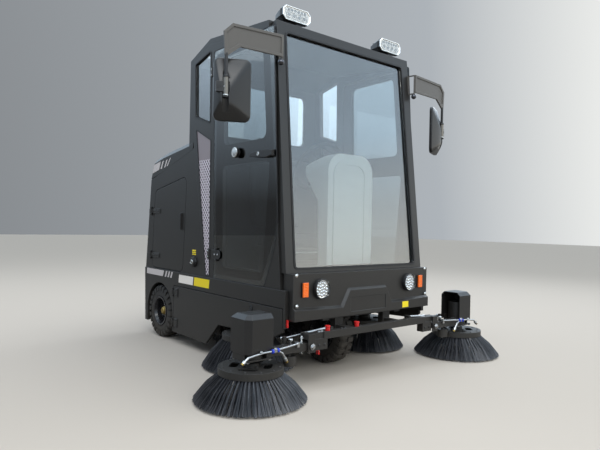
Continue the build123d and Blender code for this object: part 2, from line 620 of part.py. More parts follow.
# Mirrors: an arm plate with a raised border on the pillar, a ball below it, a tube and the head
arm_y = 148.0
arm_thickness = 12.0
arm_root = screen_half_top - 12
arm_points = [(0, 1877), (329, 1870), (378, 1822), (367, 1700), (349, 1700), (271, 1756), (0, 1774)]
pocket_points = [(14, 1861), (322, 1855), (362, 1817), (356, 1735), (276, 1771), (14, 1790)]
arm_plate = front_slab([(-arm_root - p[0], p[1]) for p in arm_points], arm_y, arm_y + arm_thickness)
arm_plate = arm_plate - front_slab([(-arm_root - p[0], p[1]) for p in pocket_points], arm_y - 1, arm_y + 6)
arm_seat = side_slab([(arm_y + arm_thickness, 1790), (screen_front_y(1790), 1790), (screen_front_y(1862), 1862),
                      (arm_y + arm_thickness, 1862)], -arm_root - 12, -arm_root)
flanges = block(-arm_root - 60, -arm_root, arm_y + arm_thickness, 190, 1856, 1862)
flanges = flanges + block(-arm_root - 60, -arm_root, arm_y + arm_thickness, 190, 1790, 1796)
ball = Pos(-arm_root - 14, arm_y + 6, 1746) * Sphere(11)
ball_stem = rod((-arm_root - 14, arm_y + 6, 1746), (-arm_root - 14, arm_y + 6, 1778), 5)
tube_x = arm_root + 359
tube_y = arm_y + 6
tube = rod((-tube_x, tube_y, 1712), (-tube_x, tube_y, 1490), 8)
sleeve = rod((-tube_x, tube_y, 1598), (-tube_x, tube_y, 1490), 12)
head_x = arm_root + 303
head_y = 190.0
head_half = 96.5
head_low = 1374.0
head_high = 1699.0
head_depth = 14.0
head_bulge = 22.0
head_turn = 25.0
head_place = Pos(-head_x, head_y, 0) * Rot(0, 0, -head_turn)
head_points = [(-head_half, head_low), (head_half, head_low), (head_half, head_high), (-head_half, head_high)]
head_face = fillet(make_face(Polyline(*head_points, close=True)).vertices(), 34)
head_plane = Plane(origin=(0, 0, 0), x_dir=(1, 0, 0), z_dir=(0, -1, 0))
head = extrude(head_plane * head_face, -head_depth) + extrude(head_plane * head_face, head_bulge, taper=45)
write("mirror_heads", both(head_place * head))
clamp_place = (head_place.inverse() * Pos(-tube_x, tube_y, 0)).position
clamp_block = block(clamp_place.X - 16, clamp_place.X + 16, clamp_place.Y, -head_bulge - 0.3, 1515, 1560)
mirror_arm = arm_plate + arm_seat + flanges + ball + ball_stem + tube + sleeve + head_place * clamp_block
write("mirror_arms", both(mirror_arm))

# Driver's place: the cowl with two nested arches on its face, steering wheel, pedals and seat
console_x = 0.0
console_half = 188.0
console_front = 172.0
console_top = 1284.0


def arch_face(half, top, corner):
    """An upright face with rounded upper corners, standing on the cab floor."""
    points = [(console_x - half, floor_z), (console_x + half, floor_z), (console_x + half, top), (console_x - half, top)]
    face = make_face(Polyline(*points, close=True))
    return fillet([v for v in face.vertices() if v.Y > 1000], corner)


console_plane = Plane(origin=(0, console_front, 0), x_dir=(1, 0, 0), z_dir=(0, -1, 0))
console_profile = side_slab([(console_front, floor_z), (console_front, console_top), (240, console_top), (385, 1215),
                             (372, 1150), (262, 1000), (245, floor_z)], console_x - console_half, console_x + console_half)
cowl = extrude(console_plane * arch_face(console_half, console_top, 110), -300) & console_profile
cowl = cowl + extrude(console_plane * arch_face(console_half - 42, console_top - 40, 90), 9)
cowl = cowl - extrude(console_plane.offset(3) * arch_face(console_half - 78, console_top - 66, 70), 10)
wheel_tilt = 55.0
wheel_centre = (console_x, 478.0, 1236.0)
wheel_place = Pos(*wheel_centre) * Rot(-wheel_tilt, 0, 0)
steering = Torus(165, 13) + Box(330, 26, 8) + Pos(0, 0, -14) * Cylinder(34, 34)
shaft_end = (wheel_place * Pos(0, 0, -100)).position
boss_end = (wheel_place * Pos(0, 0, -150)).position
shaft = wheel_place * Pos(0, 0, -60) * Cylinder(16, 80)
write("steering_wheel", wheel_place * steering + shaft)
write("steering_column", cowl + rod(tuple(shaft_end), tuple(boss_end), 22))
pedal_z = floor_z + 75
pedal_solids = []
for x in (console_x - 240, console_x + 240):
    pedal = side_slab([(330, floor_z), (346, floor_z), (322, pedal_z), (306, pedal_z)], x - 5, x + 5)
    tread = side_slab([(286, pedal_z - 30), (292, pedal_z - 37), (352, pedal_z + 28), (346, pedal_z + 35)], x - 30, x + 30)
    pedal_solids.append(pedal + tread)
write("pedals", pedal_solids)
seat_base = block(-190, 190, 640, 880, floor_z, 690)
cushion = side_slab([(530, 690.3), (900, 690.3), (900, 795), (620, 780), (560, 800), (518, 770)], -235, 235)
cushion = fillet(cushion.edges().filter_by(Axis.X).group_by(Axis.Y)[0], 20)
back = side_slab([(880, 795.3), (948, 795.3), (1026, 1330), (966, 1330), (925, 1100)], -225, 225)
back = fillet(back.edges().filter_by(lambda e: abs(e.center().X) < 200 and e.center().Z > 1320), 18)
head_rest = side_slab([(972, 1320), (1028, 1320), (1052, 1490), (1000, 1490)], -120, 120, 14)
write("driver_seat", seat_base, cushion, back + head_rest)


# Disc brushes
def star(radius, groove, count, z):
    points = []
    for i in range(count):
        for k, r in ((0, radius), (0.3, radius), (0.5, groove), (0.8, groove)):
            angle = 2 * math.pi * (i + k) / count
            points.append((r * math.cos(angle), r * math.sin(angle)))
    return Pos(0, 0, z) * make_face(Polyline(*points, close=True))


def bristles(ring_top):
    top = ring_top - brush_ring_height
    bend = brush_floor_gap + 24
    upper = loft([star(brush_ring_radius - 10, brush_ring_radius - 18, tuft_count, top),
                  star(brush_tip_radius, brush_tip_radius - 15, tuft_count, bend)], ruled=True)
    lower = loft([star(brush_tip_radius, brush_tip_radius - 15, tuft_count, bend),
                  star(brush_tip_radius - 14, brush_tip_radius - 28, tuft_count, brush_floor_gap)], ruled=True)
    cavity_low = brush_tip_radius - 70
    cavity_high = brush_ring_radius - 48
    height = top - brush_floor_gap
    cavity = Pos(0, 0, brush_floor_gap + height / 2) * Cone(cavity_low, cavity_high, height)
    return (upper + lower) - cavity


def brush_disc(ring_top):
    low = ring_top - brush_ring_height
    ring = Pos(0, 0, low) * Cylinder(brush_ring_radius, brush_ring_height, align=(Align.CENTER, Align.CENTER, Align.MIN))
    dish = Pos(0, 0, low) * Cylinder(brush_ring_radius - 48, brush_ring_height - 9,
                                     align=(Align.CENTER, Align.CENTER, Align.MIN))
    hub = Pos(0, 0, low) * Cylinder(40, brush_ring_height + 16, align=(Align.CENTER, Align.CENTER, Align.MIN))
    slots = []
    for i in range(4):
        slots.append(Rot(0, 0, 45 + 90 * i) * Pos(82, 0, ring_top) * extrude(SlotOverall(96, 44, rotation=90), 20, both=True))
    disc = ring - dish
    disc = disc - slots
    bore = Pos(0, 0, low) * Cylinder(shaft_radius + spindle_clearance, 200)
    return (disc + hub) - bore


mid_ring_top = 198.0
front_bristles = bristles(brush_ring_top)
front_disc = brush_disc(brush_ring_top)
mid_bristles = bristles(mid_ring_top)
mid_disc = brush_disc(mid_ring_top)
for side, s in (("right", -1), ("left", 1)):
    write(f"front_bristles_{side}", Pos(s * front_brush_x, front_brush_y, 0) * front_bristles)
    write(f"front_disc_{side}", Pos(s * front_brush_x, front_brush_y, 0) * front_disc)
    write(f"mid_bristles_{side}", Pos(s * mid_brush_x, mid_brush_y, 0) * mid_bristles)
    write(f"mid_disc_{side}", Pos(s * mid_brush_x, mid_brush_y, 0) * mid_disc)

# Drives of the middle brushes: motor, bracket from the rail and the shaft into the disc
mid_drives = []
for s in (-1, 1):
    centre = (s * mid_brush_x, mid_brush_y)
    motor = rod((*centre, mid_ring_top + 24), (*centre, rail_high - 36), 48)
    shaft = rod((*centre, mid_ring_top - 20), (*centre, mid_ring_top + 24), shaft_radius)
    bracket = block(min(s * (rail_x + rail_half), s * mid_brush_x), max(s * (rail_x + rail_half), s * mid_brush_x),
                    mid_brush_y - 40, mid_brush_y + 40, rail_high - 36, rail_high - 24)
    mid_drives.append(motor + shaft + bracket)
write("mid_brush_drives", mid_drives)

# Main roller brush between the wheels
roller_z = roller_radius + brush_floor_gap
roller_face = star(roller_radius, roller_radius - 20, 18, 0)
roller_body = extrude(roller_face, roller_half * 2)
roller = Pos(-roller_half, roller_y, roller_z) * Rot(0, 90, 0) * roller_body
roller_shaft = rod((-roller_bracket_x - 14, roller_y, roller_z), (roller_bracket_x + 14, roller_y, roller_z), spindle_radius)
write("main_brush", roller + roller_shaft)

# Front beam with the arms' hinge brackets, hanging boxes and its two links to the chassis
beam_high = beam_low + beam_height
beam_front = beam_y - beam_depth / 2
beam_rear = beam_y + beam_depth / 2
beam_half = arm_pivot_x + 15
beam = block(-beam_half, beam_half, beam_front, beam_rear, beam_low, beam_high)
beam = beam + block(-arm_pivot_x + 90, arm_pivot_x - 90, beam_front - 6, beam_front, beam_low - 5, beam_high + 3)
fixtures = []
pins = []
for s in (-1, 1):
    fixtures.append(block(s * 180, s * 220, beam_rear, 44, beam_low, beam_high))
    fixtures.append(block(s * 170, s * 230, 40, 80, beam_low, rail_low + 8))
    for ear_y in (beam_y - 34, beam_y + 28):
        fixtures.append(block(s * (arm_pivot_x - 24), s * (arm_pivot_x + 24), ear_y, ear_y + 6, arm_pivot_z - 31, beam_high))
    fixtures.append(block(s * (arm_pivot_x - 24), s * beam_half, beam_y - 34, beam_y + 34, beam_low, beam_high))
    fixtures.append(block(s * (arm_pivot_x - 115), s * (arm_pivot_x - 30), beam_y - 25, beam_y + 20, 200, beam_low))
    fixtures.append(block(s * 318, s * 338, beam_rear, strut_y + 8, beam_low, beam_high + 12))
    pins.append(rod((s * arm_pivot_x, beam_y - 40, arm_pivot_z), (s * arm_pivot_x, beam_y + 40, arm_pivot_z), arm_pin_radius))
write("brush_beam", beam + fixtures + pins)

# Lift struts: cylinder, rod and its eye beside the arm's lug
strut_solids = []
for s in (-1, 1):
    strut_solids.append(rod((s * 338.8, strut_y, 291), (s * 511, strut_y, 279), 9)
                        + rod((s * 511, strut_y, 279), (s * 640, strut_y, 270), 4.5)
                        + rod((s * 646, strut_y - 5, 270), (s * 646, strut_y + 5, 270), 10))
write("lift_struts", strut_solids)

# Red fittings on the beam's right half, and the tab under the hanging box
write("red_fittings", [rod((x, beam_y, beam_high), (x, beam_y, beam_high + 28), 13) for x in (-378, -158)]
      + [block(-449, -441, beam_y - 10, beam_y + 10, 172, 200)])

# Brush arms, each with its eye on the beam's pin, mounting plate, motor and shaft, and a guide roller below
arm_end = front_brush_x - 50
eye = rod((-arm_pivot_x, beam_y - 26, arm_pivot_z), (-arm_pivot_x, beam_y + 26, arm_pivot_z), 18)
arm = block(-arm_end, -arm_pivot_x - 30, beam_y - 22, beam_y + 22, arm_pivot_z - arm_half, arm_pivot_z + arm_half)
arm_neck = block(-arm_pivot_x - 31, -arm_pivot_x, beam_y - 22, beam_y + 22, arm_pivot_z - 17, arm_pivot_z + 17)
plate_low = arm_pivot_z - arm_half - 8
plate_high = arm_pivot_z - arm_half
mount = block(-front_brush_x - 66, -front_brush_x + 72, front_brush_y - 66, front_brush_y + 66, plate_low, plate_high)
motor = rod((-front_brush_x, front_brush_y, plate_high), (-front_brush_x, front_brush_y, 350), 56)
shaft = rod((-front_brush_x, front_brush_y, brush_ring_top - 20), (-front_brush_x, front_brush_y, plate_high), shaft_radius)
lug = block(-638, -654, beam_y + 22, strut_y - 12, arm_pivot_z - 10, 284)
pin_hole = rod((-arm_pivot_x, beam_y - 60, arm_pivot_z), (-arm_pivot_x, beam_y + 60, arm_pivot_z),
               arm_pin_radius + spindle_clearance)
cover_outer_x = -front_brush_x - 75
cover_inner_x = -front_brush_x + 75
cover_front = front_brush_y - 76
cover_rear = front_brush_y + 70
upstands = [block(cover_outer_x + cover_wall, cover_outer_x + cover_wall + 6, front_brush_y - 40, front_brush_y + 60,
                  plate_low, cover_low + 26),
            block(cover_outer_x + 40, cover_inner_x - 20, cover_rear - cover_wall - 6, cover_rear - cover_wall,
                  plate_low, cover_low + 26)]
roller_shaft = rod((-636, beam_y, 142), (-636, beam_y, arm_pivot_z - arm_half), 7)
roller_disc = rod((-636, beam_y, 142), (-636, beam_y, 190), 34)
write_sides("brush_arm", (eye + arm + arm_neck + mount + motor + shaft + lug + upstands + roller_shaft + roller_disc) - pin_hole)

# Bent cover over each front motor, open towards the middle of the vehicle
cover_chamfer = 28.0
cover_face = make_face(Polyline((cover_outer_x, cover_rear), (cover_outer_x, cover_front + cover_chamfer),
                                (cover_outer_x + cover_chamfer, cover_front), (cover_inner_x, cover_front),
                                (cover_inner_x, cover_rear), close=True))
cover = extrude(Pos(0, 0, cover_low) * cover_face, cover_high - cover_low)
cover_top = cover.edges().group_by(Axis.Z)[-1].filter_by(lambda e: abs(e.center().X - cover_inner_x) > 1)
cover = chamfer(cover_top, 22)
step = cover_wall * math.tan(math.radians(22.5))
void_face = make_face(Polyline((cover_outer_x + cover_wall, cover_rear - cover_wall),
                               (cover_outer_x + cover_wall, cover_front + cover_chamfer + step),
                               (cover_outer_x + cover_chamfer + step, cover_front + cover_wall),
                               (cover_inner_x + 50, cover_front + cover_wall), (cover_inner_x + 50, cover_rear - cover_wall),
                               close=True))
void = extrude(Pos(0, 0, cover_low - 10) * void_face, cover_high - cover_low + 10 - cover_wall)
void_top = void.edges().group_by(Axis.Z)[-1].filter_by(lambda e: abs(e.center().X - cover_inner_x - 50) > 1)
void = chamfer(void_top, 22)
write_sides("motor_cover", cover - void)

# Spray tubes: a line from a clamp on the arm, a junction on the cover's face and two bent nozzles
tube_front = cover_front - 12
arm_top = arm_pivot_z + arm_half
junction_x = cover_inner_x + 4
junction = block(junction_x - 12, junction_x + 12, cover_front - 18, cover_front, 234, 250)
clamp = block(-612, -596, beam_y - 34, beam_y - 8, arm_top, arm_top + 14)
clamp = clamp + block(-612, -596, beam_y - 34, beam_y - 22, arm_top - 12, arm_top)
runs = [((-604, beam_y - 30, 252), (-700, tube_front - 2, 250), 5), ((-700, tube_front - 2, 250), (junction_x + 12, tube_front, 244), 5),
        ((junction_x + 12, tube_front, 242), (-722, tube_front, 225), 5.5), ((-722, tube_front, 225), (-692, tube_front + 2, 180), 6.5),
        ((junction_x - 12, tube_front, 241), (-830, tube_front, 240), 5), ((-830, tube_front, 240), (-880, tube_front, 234), 5),
        ((-880, tube_front, 234), (-917, tube_front + 1, 228), 5), ((-917, tube_front + 1, 228), (-950, tube_front + 2, 204), 6)]
spray = junction + clamp
for start, end, radius in runs:
    spray = spray + rod(start, end, radius) + Pos(*end) * Sphere(radius)
write_sides("spray_tubes", spray)
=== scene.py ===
import math
import random

import bmesh
import bpy
from mathutils import Matrix, Vector


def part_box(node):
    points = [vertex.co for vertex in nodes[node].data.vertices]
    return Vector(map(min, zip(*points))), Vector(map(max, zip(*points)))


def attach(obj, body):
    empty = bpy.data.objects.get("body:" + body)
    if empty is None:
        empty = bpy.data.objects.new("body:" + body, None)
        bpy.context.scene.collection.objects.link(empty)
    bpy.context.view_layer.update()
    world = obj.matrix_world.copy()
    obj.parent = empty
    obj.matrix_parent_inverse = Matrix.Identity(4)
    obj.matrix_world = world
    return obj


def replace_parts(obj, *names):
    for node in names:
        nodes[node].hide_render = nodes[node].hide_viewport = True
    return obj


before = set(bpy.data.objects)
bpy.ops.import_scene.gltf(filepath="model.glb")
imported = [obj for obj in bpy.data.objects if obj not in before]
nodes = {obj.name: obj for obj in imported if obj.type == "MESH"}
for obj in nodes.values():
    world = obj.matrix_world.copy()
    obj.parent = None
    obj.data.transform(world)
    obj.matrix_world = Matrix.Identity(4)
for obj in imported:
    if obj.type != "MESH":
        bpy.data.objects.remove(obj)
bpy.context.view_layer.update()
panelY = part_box("front_panel")[0].y  # the front panel's face, from which every y below is counted
sides = (("right", -1), ("left", 1))
up, down, forward = (0, 0, 1), (0, 0, -1), (0, -1, 0)


def spot(x, y, z):
    # millimetres: left of the middle, behind the front panel's face, above the ground
    return Vector((x / 1000, y / 1000 + panelY, z / 1000))


def tilted(x, y, z, slope):
    # the frame of a piece at a spot, leaning by so many degrees about the crosswise axis
    return Matrix.Translation(spot(x, y, z)) @ Matrix.Rotation(math.radians(slope), 4, "X")


def addObject(name, data):
    made = bpy.data.objects.new(name, data)
    bpy.context.scene.collection.objects.link(made)
    return made


def around(count, turn=0.0):
    # cosine and sine of headings that are evenly spread over a full turn
    headings = [2 * math.pi * i / count + turn for i in range(count)]
    return [(math.cos(a), math.sin(a)) for a in headings]


# Camera, at the height and side the photograph was taken from
cameraLook = {"place": (-2330.8, -2185.5, 849.7), "turn": 39.42, "tip": -0.01, "roll": 1.18, "lens": 32.41}
cameraData = bpy.data.cameras.new("viewCamera")
cameraData.lens = cameraLook["lens"]
cameraData.clip_end = 60
camera = addObject("viewCamera", cameraData)
turn, tip, roll = (math.radians(cameraLook[k]) for k in ("turn", "tip", "roll"))
ahead = Vector((math.sin(turn) * math.cos(tip), math.cos(turn) * math.cos(tip), math.sin(tip)))
level = Vector((math.cos(turn), -math.sin(turn), 0))
above = level.cross(ahead)
sideways = level * math.cos(roll) + above * math.sin(roll)
upwards = above * math.cos(roll) - level * math.sin(roll)
camera.matrix_world = Matrix.Translation(spot(*cameraLook["place"])) @ Matrix(
    (sideways, upwards, -ahead)).transposed().to_4x4()
bpy.context.scene.camera = camera
bpy.context.scene.view_settings.view_transform = "Standard"
print("camera placed")


# Shader nodes: what comes as a socket is linked, and what comes as a value is set on the input
def fillInput(tree, socket, source):
    if isinstance(source, bpy.types.NodeSocket):
        tree.links.new(source, socket)
    else:
        socket.default_value = source


def addNode(tree, kind, inputs=None, **settings):
    node = tree.nodes.new("ShaderNode" + kind)
    for key, value in settings.items():
        setattr(node, key, value)
    for key, source in (inputs or {}).items():
        fillInput(tree, node.inputs[key], source)
    return node


def calculate(tree, operation, *values, clamp=False):
    return addNode(tree, "Math", dict(enumerate(values)), operation=operation, use_clamp=clamp).outputs[0]


def combine(tree, operation, *vectors):
    node = addNode(tree, "VectorMath", dict(enumerate(vectors)), operation=operation)
    return node.outputs["Value" if operation == "DOT_PRODUCT" else "Vector"]


def remap(tree, value, low, high, toLow=0.0, toHigh=1.0):
    return addNode(tree, "MapRange", {"Value": value, "From Min": low, "From Max": high, "To Min": toLow,
                                      "To Max": toHigh}).outputs[0]


def noise(tree, place, scale, detail):
    return addNode(tree, "TexNoise", {"Vector": place, "Scale": scale, "Detail": detail}).outputs["Fac"]


def heightOf(tree, vector):
    return addNode(tree, "SeparateXYZ", {"Vector": vector}).outputs["Z"]


def colourRamp(tree, factor, first, second):
    node = addNode(tree, "ValToRGB", {"Fac": factor})
    for element, colour in zip(node.color_ramp.elements, (first, second)):
        element.color = (*colour, 1)
    return node


def mixColours(tree, factor, first, second):
    node = addNode(tree, "Mix", data_type="RGBA")
    for identifier, source in (("Factor_Float", factor), ("A_Color", first), ("B_Color", second)):
        fillInput(tree, next(s for s in node.inputs if s.identifier == identifier), source)
    return next(s for s in node.outputs if s.identifier == "Result_Color")


# Shader groups: each puts out a colour, a roughness or a normal for several paints and plastics
socketKinds = {"Color": "NodeSocketColor", "Roughness": "NodeSocketFloat", "Normal": "NodeSocketVector"}


def newGroup(name, inputs):
    group = bpy.data.node_groups.new(name, "ShaderNodeTree")
    for label, value in inputs.items():
        kind = socketKinds["Color" if isinstance(value, tuple) else "Roughness"]
        group.interface.new_socket(label, in_out="INPUT", socket_type=kind).default_value = value
    return group, group.nodes.new("NodeGroupInput").outputs, addNode(group, "NewGeometry").outputs


def closeGroup(group, results):
    for label in results:
        group.interface.new_socket(label, in_out="OUTPUT", socket_type=socketKinds[label])
    go = group.nodes.new("NodeGroupOutput")
    for label, result in results.items():
        group.links.new(result, go.inputs[label])
    return group


def buildCoatGroup():
    # powder coat: orange-peel bump, bevelled edges painted paler as a painted highlight, road dust that settles
    # low and on ledges
    group, given, place = newGroup("coatSurface", {
        "Color": (0.03, 0.03, 0.03, 1), "Dust Color": (0.25, 0.22, 0.18, 1), "Edge Highlight Color": (0.1, 0.1, 0.11, 1),
        "Roughness": 0.4, "Peel Scale": 900.0, "Peel Depth": 0.15, "Dust": 0.2, "Edge": 0.5})
    low = remap(group, heightOf(group, place["Position"]), 0.42, 0.0)
    flat = remap(group, heightOf(group, place["Normal"]), 0.7, 1.0, toHigh=0.5)
    cloud = noise(group, place["Position"], 3.2, 6.0)
    speck = noise(group, place["Position"], 140.0, 3.0)
    amount = calculate(group, "MULTIPLY", calculate(group, "MAXIMUM", low, flat),
                       calculate(group, "MULTIPLY", cloud, speck))
    dusty = calculate(group, "MULTIPLY", amount, given["Dust"], clamp=True)
    rounded = addNode(group, "Bevel", {"Radius": 0.0028}, samples=4).outputs[0]
    rim = remap(group, combine(group, "DOT_PRODUCT", rounded, place["Normal"]), 0.995, 0.85)
    # edges found from the bevelled normal take the paler edge colour: a painted highlight
    palerAmount = calculate(group, "MULTIPLY", rim, given["Edge"], clamp=True)
    edged = mixColours(group, palerAmount, given["Color"], given["Edge Highlight Color"])
    sheen = calculate(group, "MULTIPLY_ADD", cloud, 0.12, given["Roughness"])
    peel = noise(group, place["Position"], given["Peel Scale"], 2.0)
    bump = addNode(group, "Bump", {"Height": peel, "Strength": given["Peel Depth"], "Normal": rounded,
                                   "Distance": 0.0006})
    return closeGroup(group, {"Color": mixColours(group, dusty, edged, given["Dust Color"]),
                              "Roughness": calculate(group, "ADD", sheen, dusty, clamp=True),
                              "Normal": bump.outputs[0]})


def buildGlassGroup():
    # glass: wiped smears, as roughness and tint
    group, given, place = newGroup(
        "glassSurface", {"Color": (0.9, 0.9, 0.9, 1), "Roughness": 0.01, "Smear": 0.04})
    wipe = addNode(group, "Mapping", {"Vector": place["Position"], "Scale": (2.0, 2.0, 9.0)})
    streak = noise(group, wipe.outputs[0], 2.4, 4.0)
    rough = calculate(group, "MULTIPLY_ADD", remap(group, streak, 0.5, 0.8), given["Smear"], given["Roughness"])
    shade = addNode(group, "HueSaturation",
                    {"Color": given["Color"], "Value": remap(group, streak, 0, 1, 1.02, 0.96)})
    return closeGroup(group, {"Color": shade.outputs[0], "Roughness": rough})


def buildGrainGroup():
    # leather-like grain for the seat, the grips and the moulded lining
    group, given, place = newGroup("grainSurface", {
        "Color": (0.03, 0.03, 0.03, 1), "Roughness": 0.5, "Grain Scale": 420.0, "Grain Depth": 0.5})
    cells = addNode(group, "TexVoronoi", {"Vector": place["Position"], "Scale": given["Grain Scale"]},
                    feature="DISTANCE_TO_EDGE")
    height = remap(group, cells.outputs["Distance"], 0.0, 0.18)
    shade = addNode(group, "HueSaturation",
                    {"Color": given["Color"], "Value": remap(group, height, 0, 1, 0.72, 1.0)})
    rough = calculate(group, "MULTIPLY_ADD", noise(group, place["Position"], 26.0, 4.0), 0.15,
                      given["Roughness"])
    bump = addNode(group, "Bump", {"Height": height, "Strength": given["Grain Depth"], "Distance": 0.0005})
    return closeGroup(group, {"Color": shade.outputs[0], "Roughness": rough, "Normal": bump.outputs[0]})


coatGroup = buildCoatGroup()
glassGroup = buildGlassGroup()
grainGroup = buildGrainGroup()


def newMaterial(name, **settings):
    material = bpy.data.materials.new(name)
    material.use_nodes = True
    shader = material.node_tree.nodes["Principled BSDF"]
    for key, value in settings.items():
        shader.inputs[key.replace("_", " ")].default_value = value
    return material


def feed(material, sources):
    tree = material.node_tree
    for key, source in sources.items():
        tree.links.new(source, tree.nodes["Principled BSDF"].inputs["Base Color" if key == "Color" else key])
    return material


def wire(material, group, values):
    surface = addNode(material.node_tree, "Group", node_tree=group)
    for key, value in values.items():
        surface.inputs[key].default_value = value
    return feed(material, dict(surface.outputs.items()))


# coat paint with dust, and a paler edge colour that is a painted highlight
def coated(name, colour, roughness, peelScale=900.0, peelDepth=0.15, dust=0.2, edge=0.4,
           edgeHighlightColour=(0.075, 0.08, 0.095), dustColour=(0.25, 0.22, 0.18), **settings):
    return wire(newMaterial(name, **settings), coatGroup, {
        "Color": (*colour, 1), "Dust Color": (*dustColour, 1), "Edge Highlight Color": (*edgeHighlightColour, 1),
        "Roughness": roughness, "Peel Scale": peelScale, "Peel Depth": peelDepth, "Dust": dust, "Edge": edge})


def bright(name, colour, roughness, peelScale=400.0, peelDepth=0.08, dust=0.05, **settings):
    # lenses, tapes and plated parts: no painted edge highlight
    return coated(name, colour, roughness, peelScale, peelDepth, dust, edge=0.0, **settings)


def glassy(name, colour, smear=0.04, **settings):
    return wire(newMaterial(name, Transmission_Weight=1.0, **settings), glassGroup,
                {"Color": (*colour, 1), "Roughness": 0.008, "Smear": smear})


def grained(name, colour, roughness, scale, depth):
    return wire(newMaterial(name), grainGroup,
                {"Color": (*colour, 1), "Roughness": roughness, "Grain Scale": scale, "Grain Depth": depth})


# Finishes: name, colour, roughness, then peel scale and depth, dust, painted edge highlight and the colours of
# the edge highlight and dust
finish = {
    "body": coated("bodyCoat", (0.0185, 0.0180, 0.0175), 0.34, 700, 0.2, 0.3, 0.55),
    "chassis": coated("chassisCoat", (0.010, 0.010, 0.0105), 0.36, 500, 0.25, 0.5, 0.3),
    "cast": coated("mirrorArmCoat", (0.092, 0.089, 0.085), 0.38, 600, 0.2, 0.05, 0.4, (0.22, 0.21, 0.20)),
    "mirrorShell": coated("mirrorShellPlastic", (0.013, 0.013, 0.0135), 0.24, 420, 0.2, 0.05, 0.2),
    "cover": coated("motorCoverPlastic", (0.013, 0.013, 0.014), 0.26, 420, 0.15, 0.15, 0.35),
    "tyre": coated("tyreRubber", (0.016, 0.0165, 0.018), 0.68, 260, 0.5, 0.9, 0.25, (0.04, 0.042, 0.048),
                   (0.2, 0.17, 0.13)),
    "rim": coated("rimPaint", (0.007, 0.008, 0.012), 0.14, 500, 0.1, 0.2, 0.3),
    "disc": coated("brushDiscPlastic", (0.013, 0.013, 0.013), 0.40, 420, 0.3, 0.3, 0.3),
    "trim": coated("trimPlastic", (0.013, 0.013, 0.014), 0.34, 380, 0.3, 0.2, 0.25),
    "seal": coated("sealRubber", (0.008, 0.008, 0.009), 0.45, 500, 0.3, 0.05, 0.15),
    "interior": grained("cabLining", (0.040, 0.040, 0.043), 0.6, 300, 0.3),
    "console": coated("consolePlastic", (0.66, 0.71, 0.69), 0.32, 300, 0.10, 0.03, 0.15, (0.85, 0.88, 0.86)),
    "vinyl": grained("seatVinyl", (0.020, 0.020, 0.022), 0.42, 460, 0.5),
    "grip": grained("gripRubber", (0.015, 0.015, 0.016), 0.5, 700, 0.6),
    "rubber": grained("matRubber", (0.018, 0.018, 0.019), 0.62, 520, 0.6),
    "bronze": bright("sleeveBronze", (0.20, 0.18, 0.155), 0.2, Metallic=1.0),
    "ball": bright("darkNickel", (0.10, 0.10, 0.11), 0.1, Metallic=1.0),
    "chrome": bright("boltZinc", (0.62, 0.62, 0.60), 0.20, Metallic=1.0),
    "steel": bright("rodSteel", (0.50, 0.50, 0.50), 0.22, Metallic=1.0),
    "brass": bright("hubBrass", (0.42, 0.30, 0.10), 0.35, Metallic=1.0),
    "mirror": bright("mirrorSilver", (0.85, 0.87, 0.88), 0.02, 400, 0.0, 0.02, Metallic=1.0),
    "red": bright("redCap", (0.62, 0.010, 0.010), 0.35),
    "blue": bright("blueFitting", (0.012, 0.045, 0.55), 0.3),
    "amber": bright("amberLens", (0.95, 0.17, 0.006), 0.16, 260, 0.05, 0.0, Coat_Weight=0.6),
    "redLens": bright("redLens", (0.45, 0.008, 0.008), 0.16, 260, 0.05, 0.0, Coat_Weight=0.6),
    "silverTape": bright("silverTape", (0.58, 0.57, 0.60), 0.36, 700, 0.05),
    "whiteTape": bright("whiteTape", (0.92, 0.92, 0.91), 0.36, 700, 0.05),
    "yellowTape": bright("yellowTape", (0.93, 0.77, 0.010), 0.36, 700, 0.05),
    "screen": glassy("windscreenGlass", (0.95, 0.985, 0.975), IOR=1.9),
    "clear": glassy("clearGlass", (0.90, 0.95, 0.97), IOR=2.0),
    "tinted": glassy("tintedGlass", (0.28, 0.32, 0.33), IOR=1.8),
    "lens": glassy("lampLens", (0.97, 0.98, 1.0), 0.1, IOR=1.45),
    "reflector": bright("lampReflector", (0.92, 0.91, 0.88), 0.16, 260, 0.05, 0.0, Metallic=1.0),
    "lampFace": bright("lampFace", (0.94, 0.93, 0.87), 0.3, 300, 0.05, 0.0),
    "lampCup": bright("lampCup", (0.42, 0.42, 0.40), 0.3, 300, 0.05, 0.0, Metallic=0.6),
    "screenFace": bright("gaugeFace", (0.010, 0.014, 0.018), 0.12, 300, 0.03, 0.02),
}

# Vent sheets: lilac grey, perforated with rows of holes below a plain top; the holes are near-black spots of
# painted shade, the dark inside seen through them
ventLook = {"spacing": 0.0290, "stretch": 1.15, "plainFrom": (1.264, 1.262), "holeEdge": (0.33, 0.29),
            "sheet": (0.70, 0.67, 0.78), "hole": (0.06, 0.055, 0.085), "upper": (0.27, 0.25, 0.29)}


def holeLattice(tree, place, shift):
    # distance to the nearest hole centre of one lattice, measured along the sides of a diamond
    spacing = ventLook["spacing"]
    grid = combine(tree, "MULTIPLY_ADD", place, (0, 1 / spacing, 1 / (spacing * ventLook["stretch"])),
                   (0, shift, shift))
    centred = combine(tree, "ADD", combine(tree, "FRACTION", grid), (0, -0.5, -0.5))
    return combine(tree, "DOT_PRODUCT", combine(tree, "ABSOLUTE", centred), (0, 1, 1))


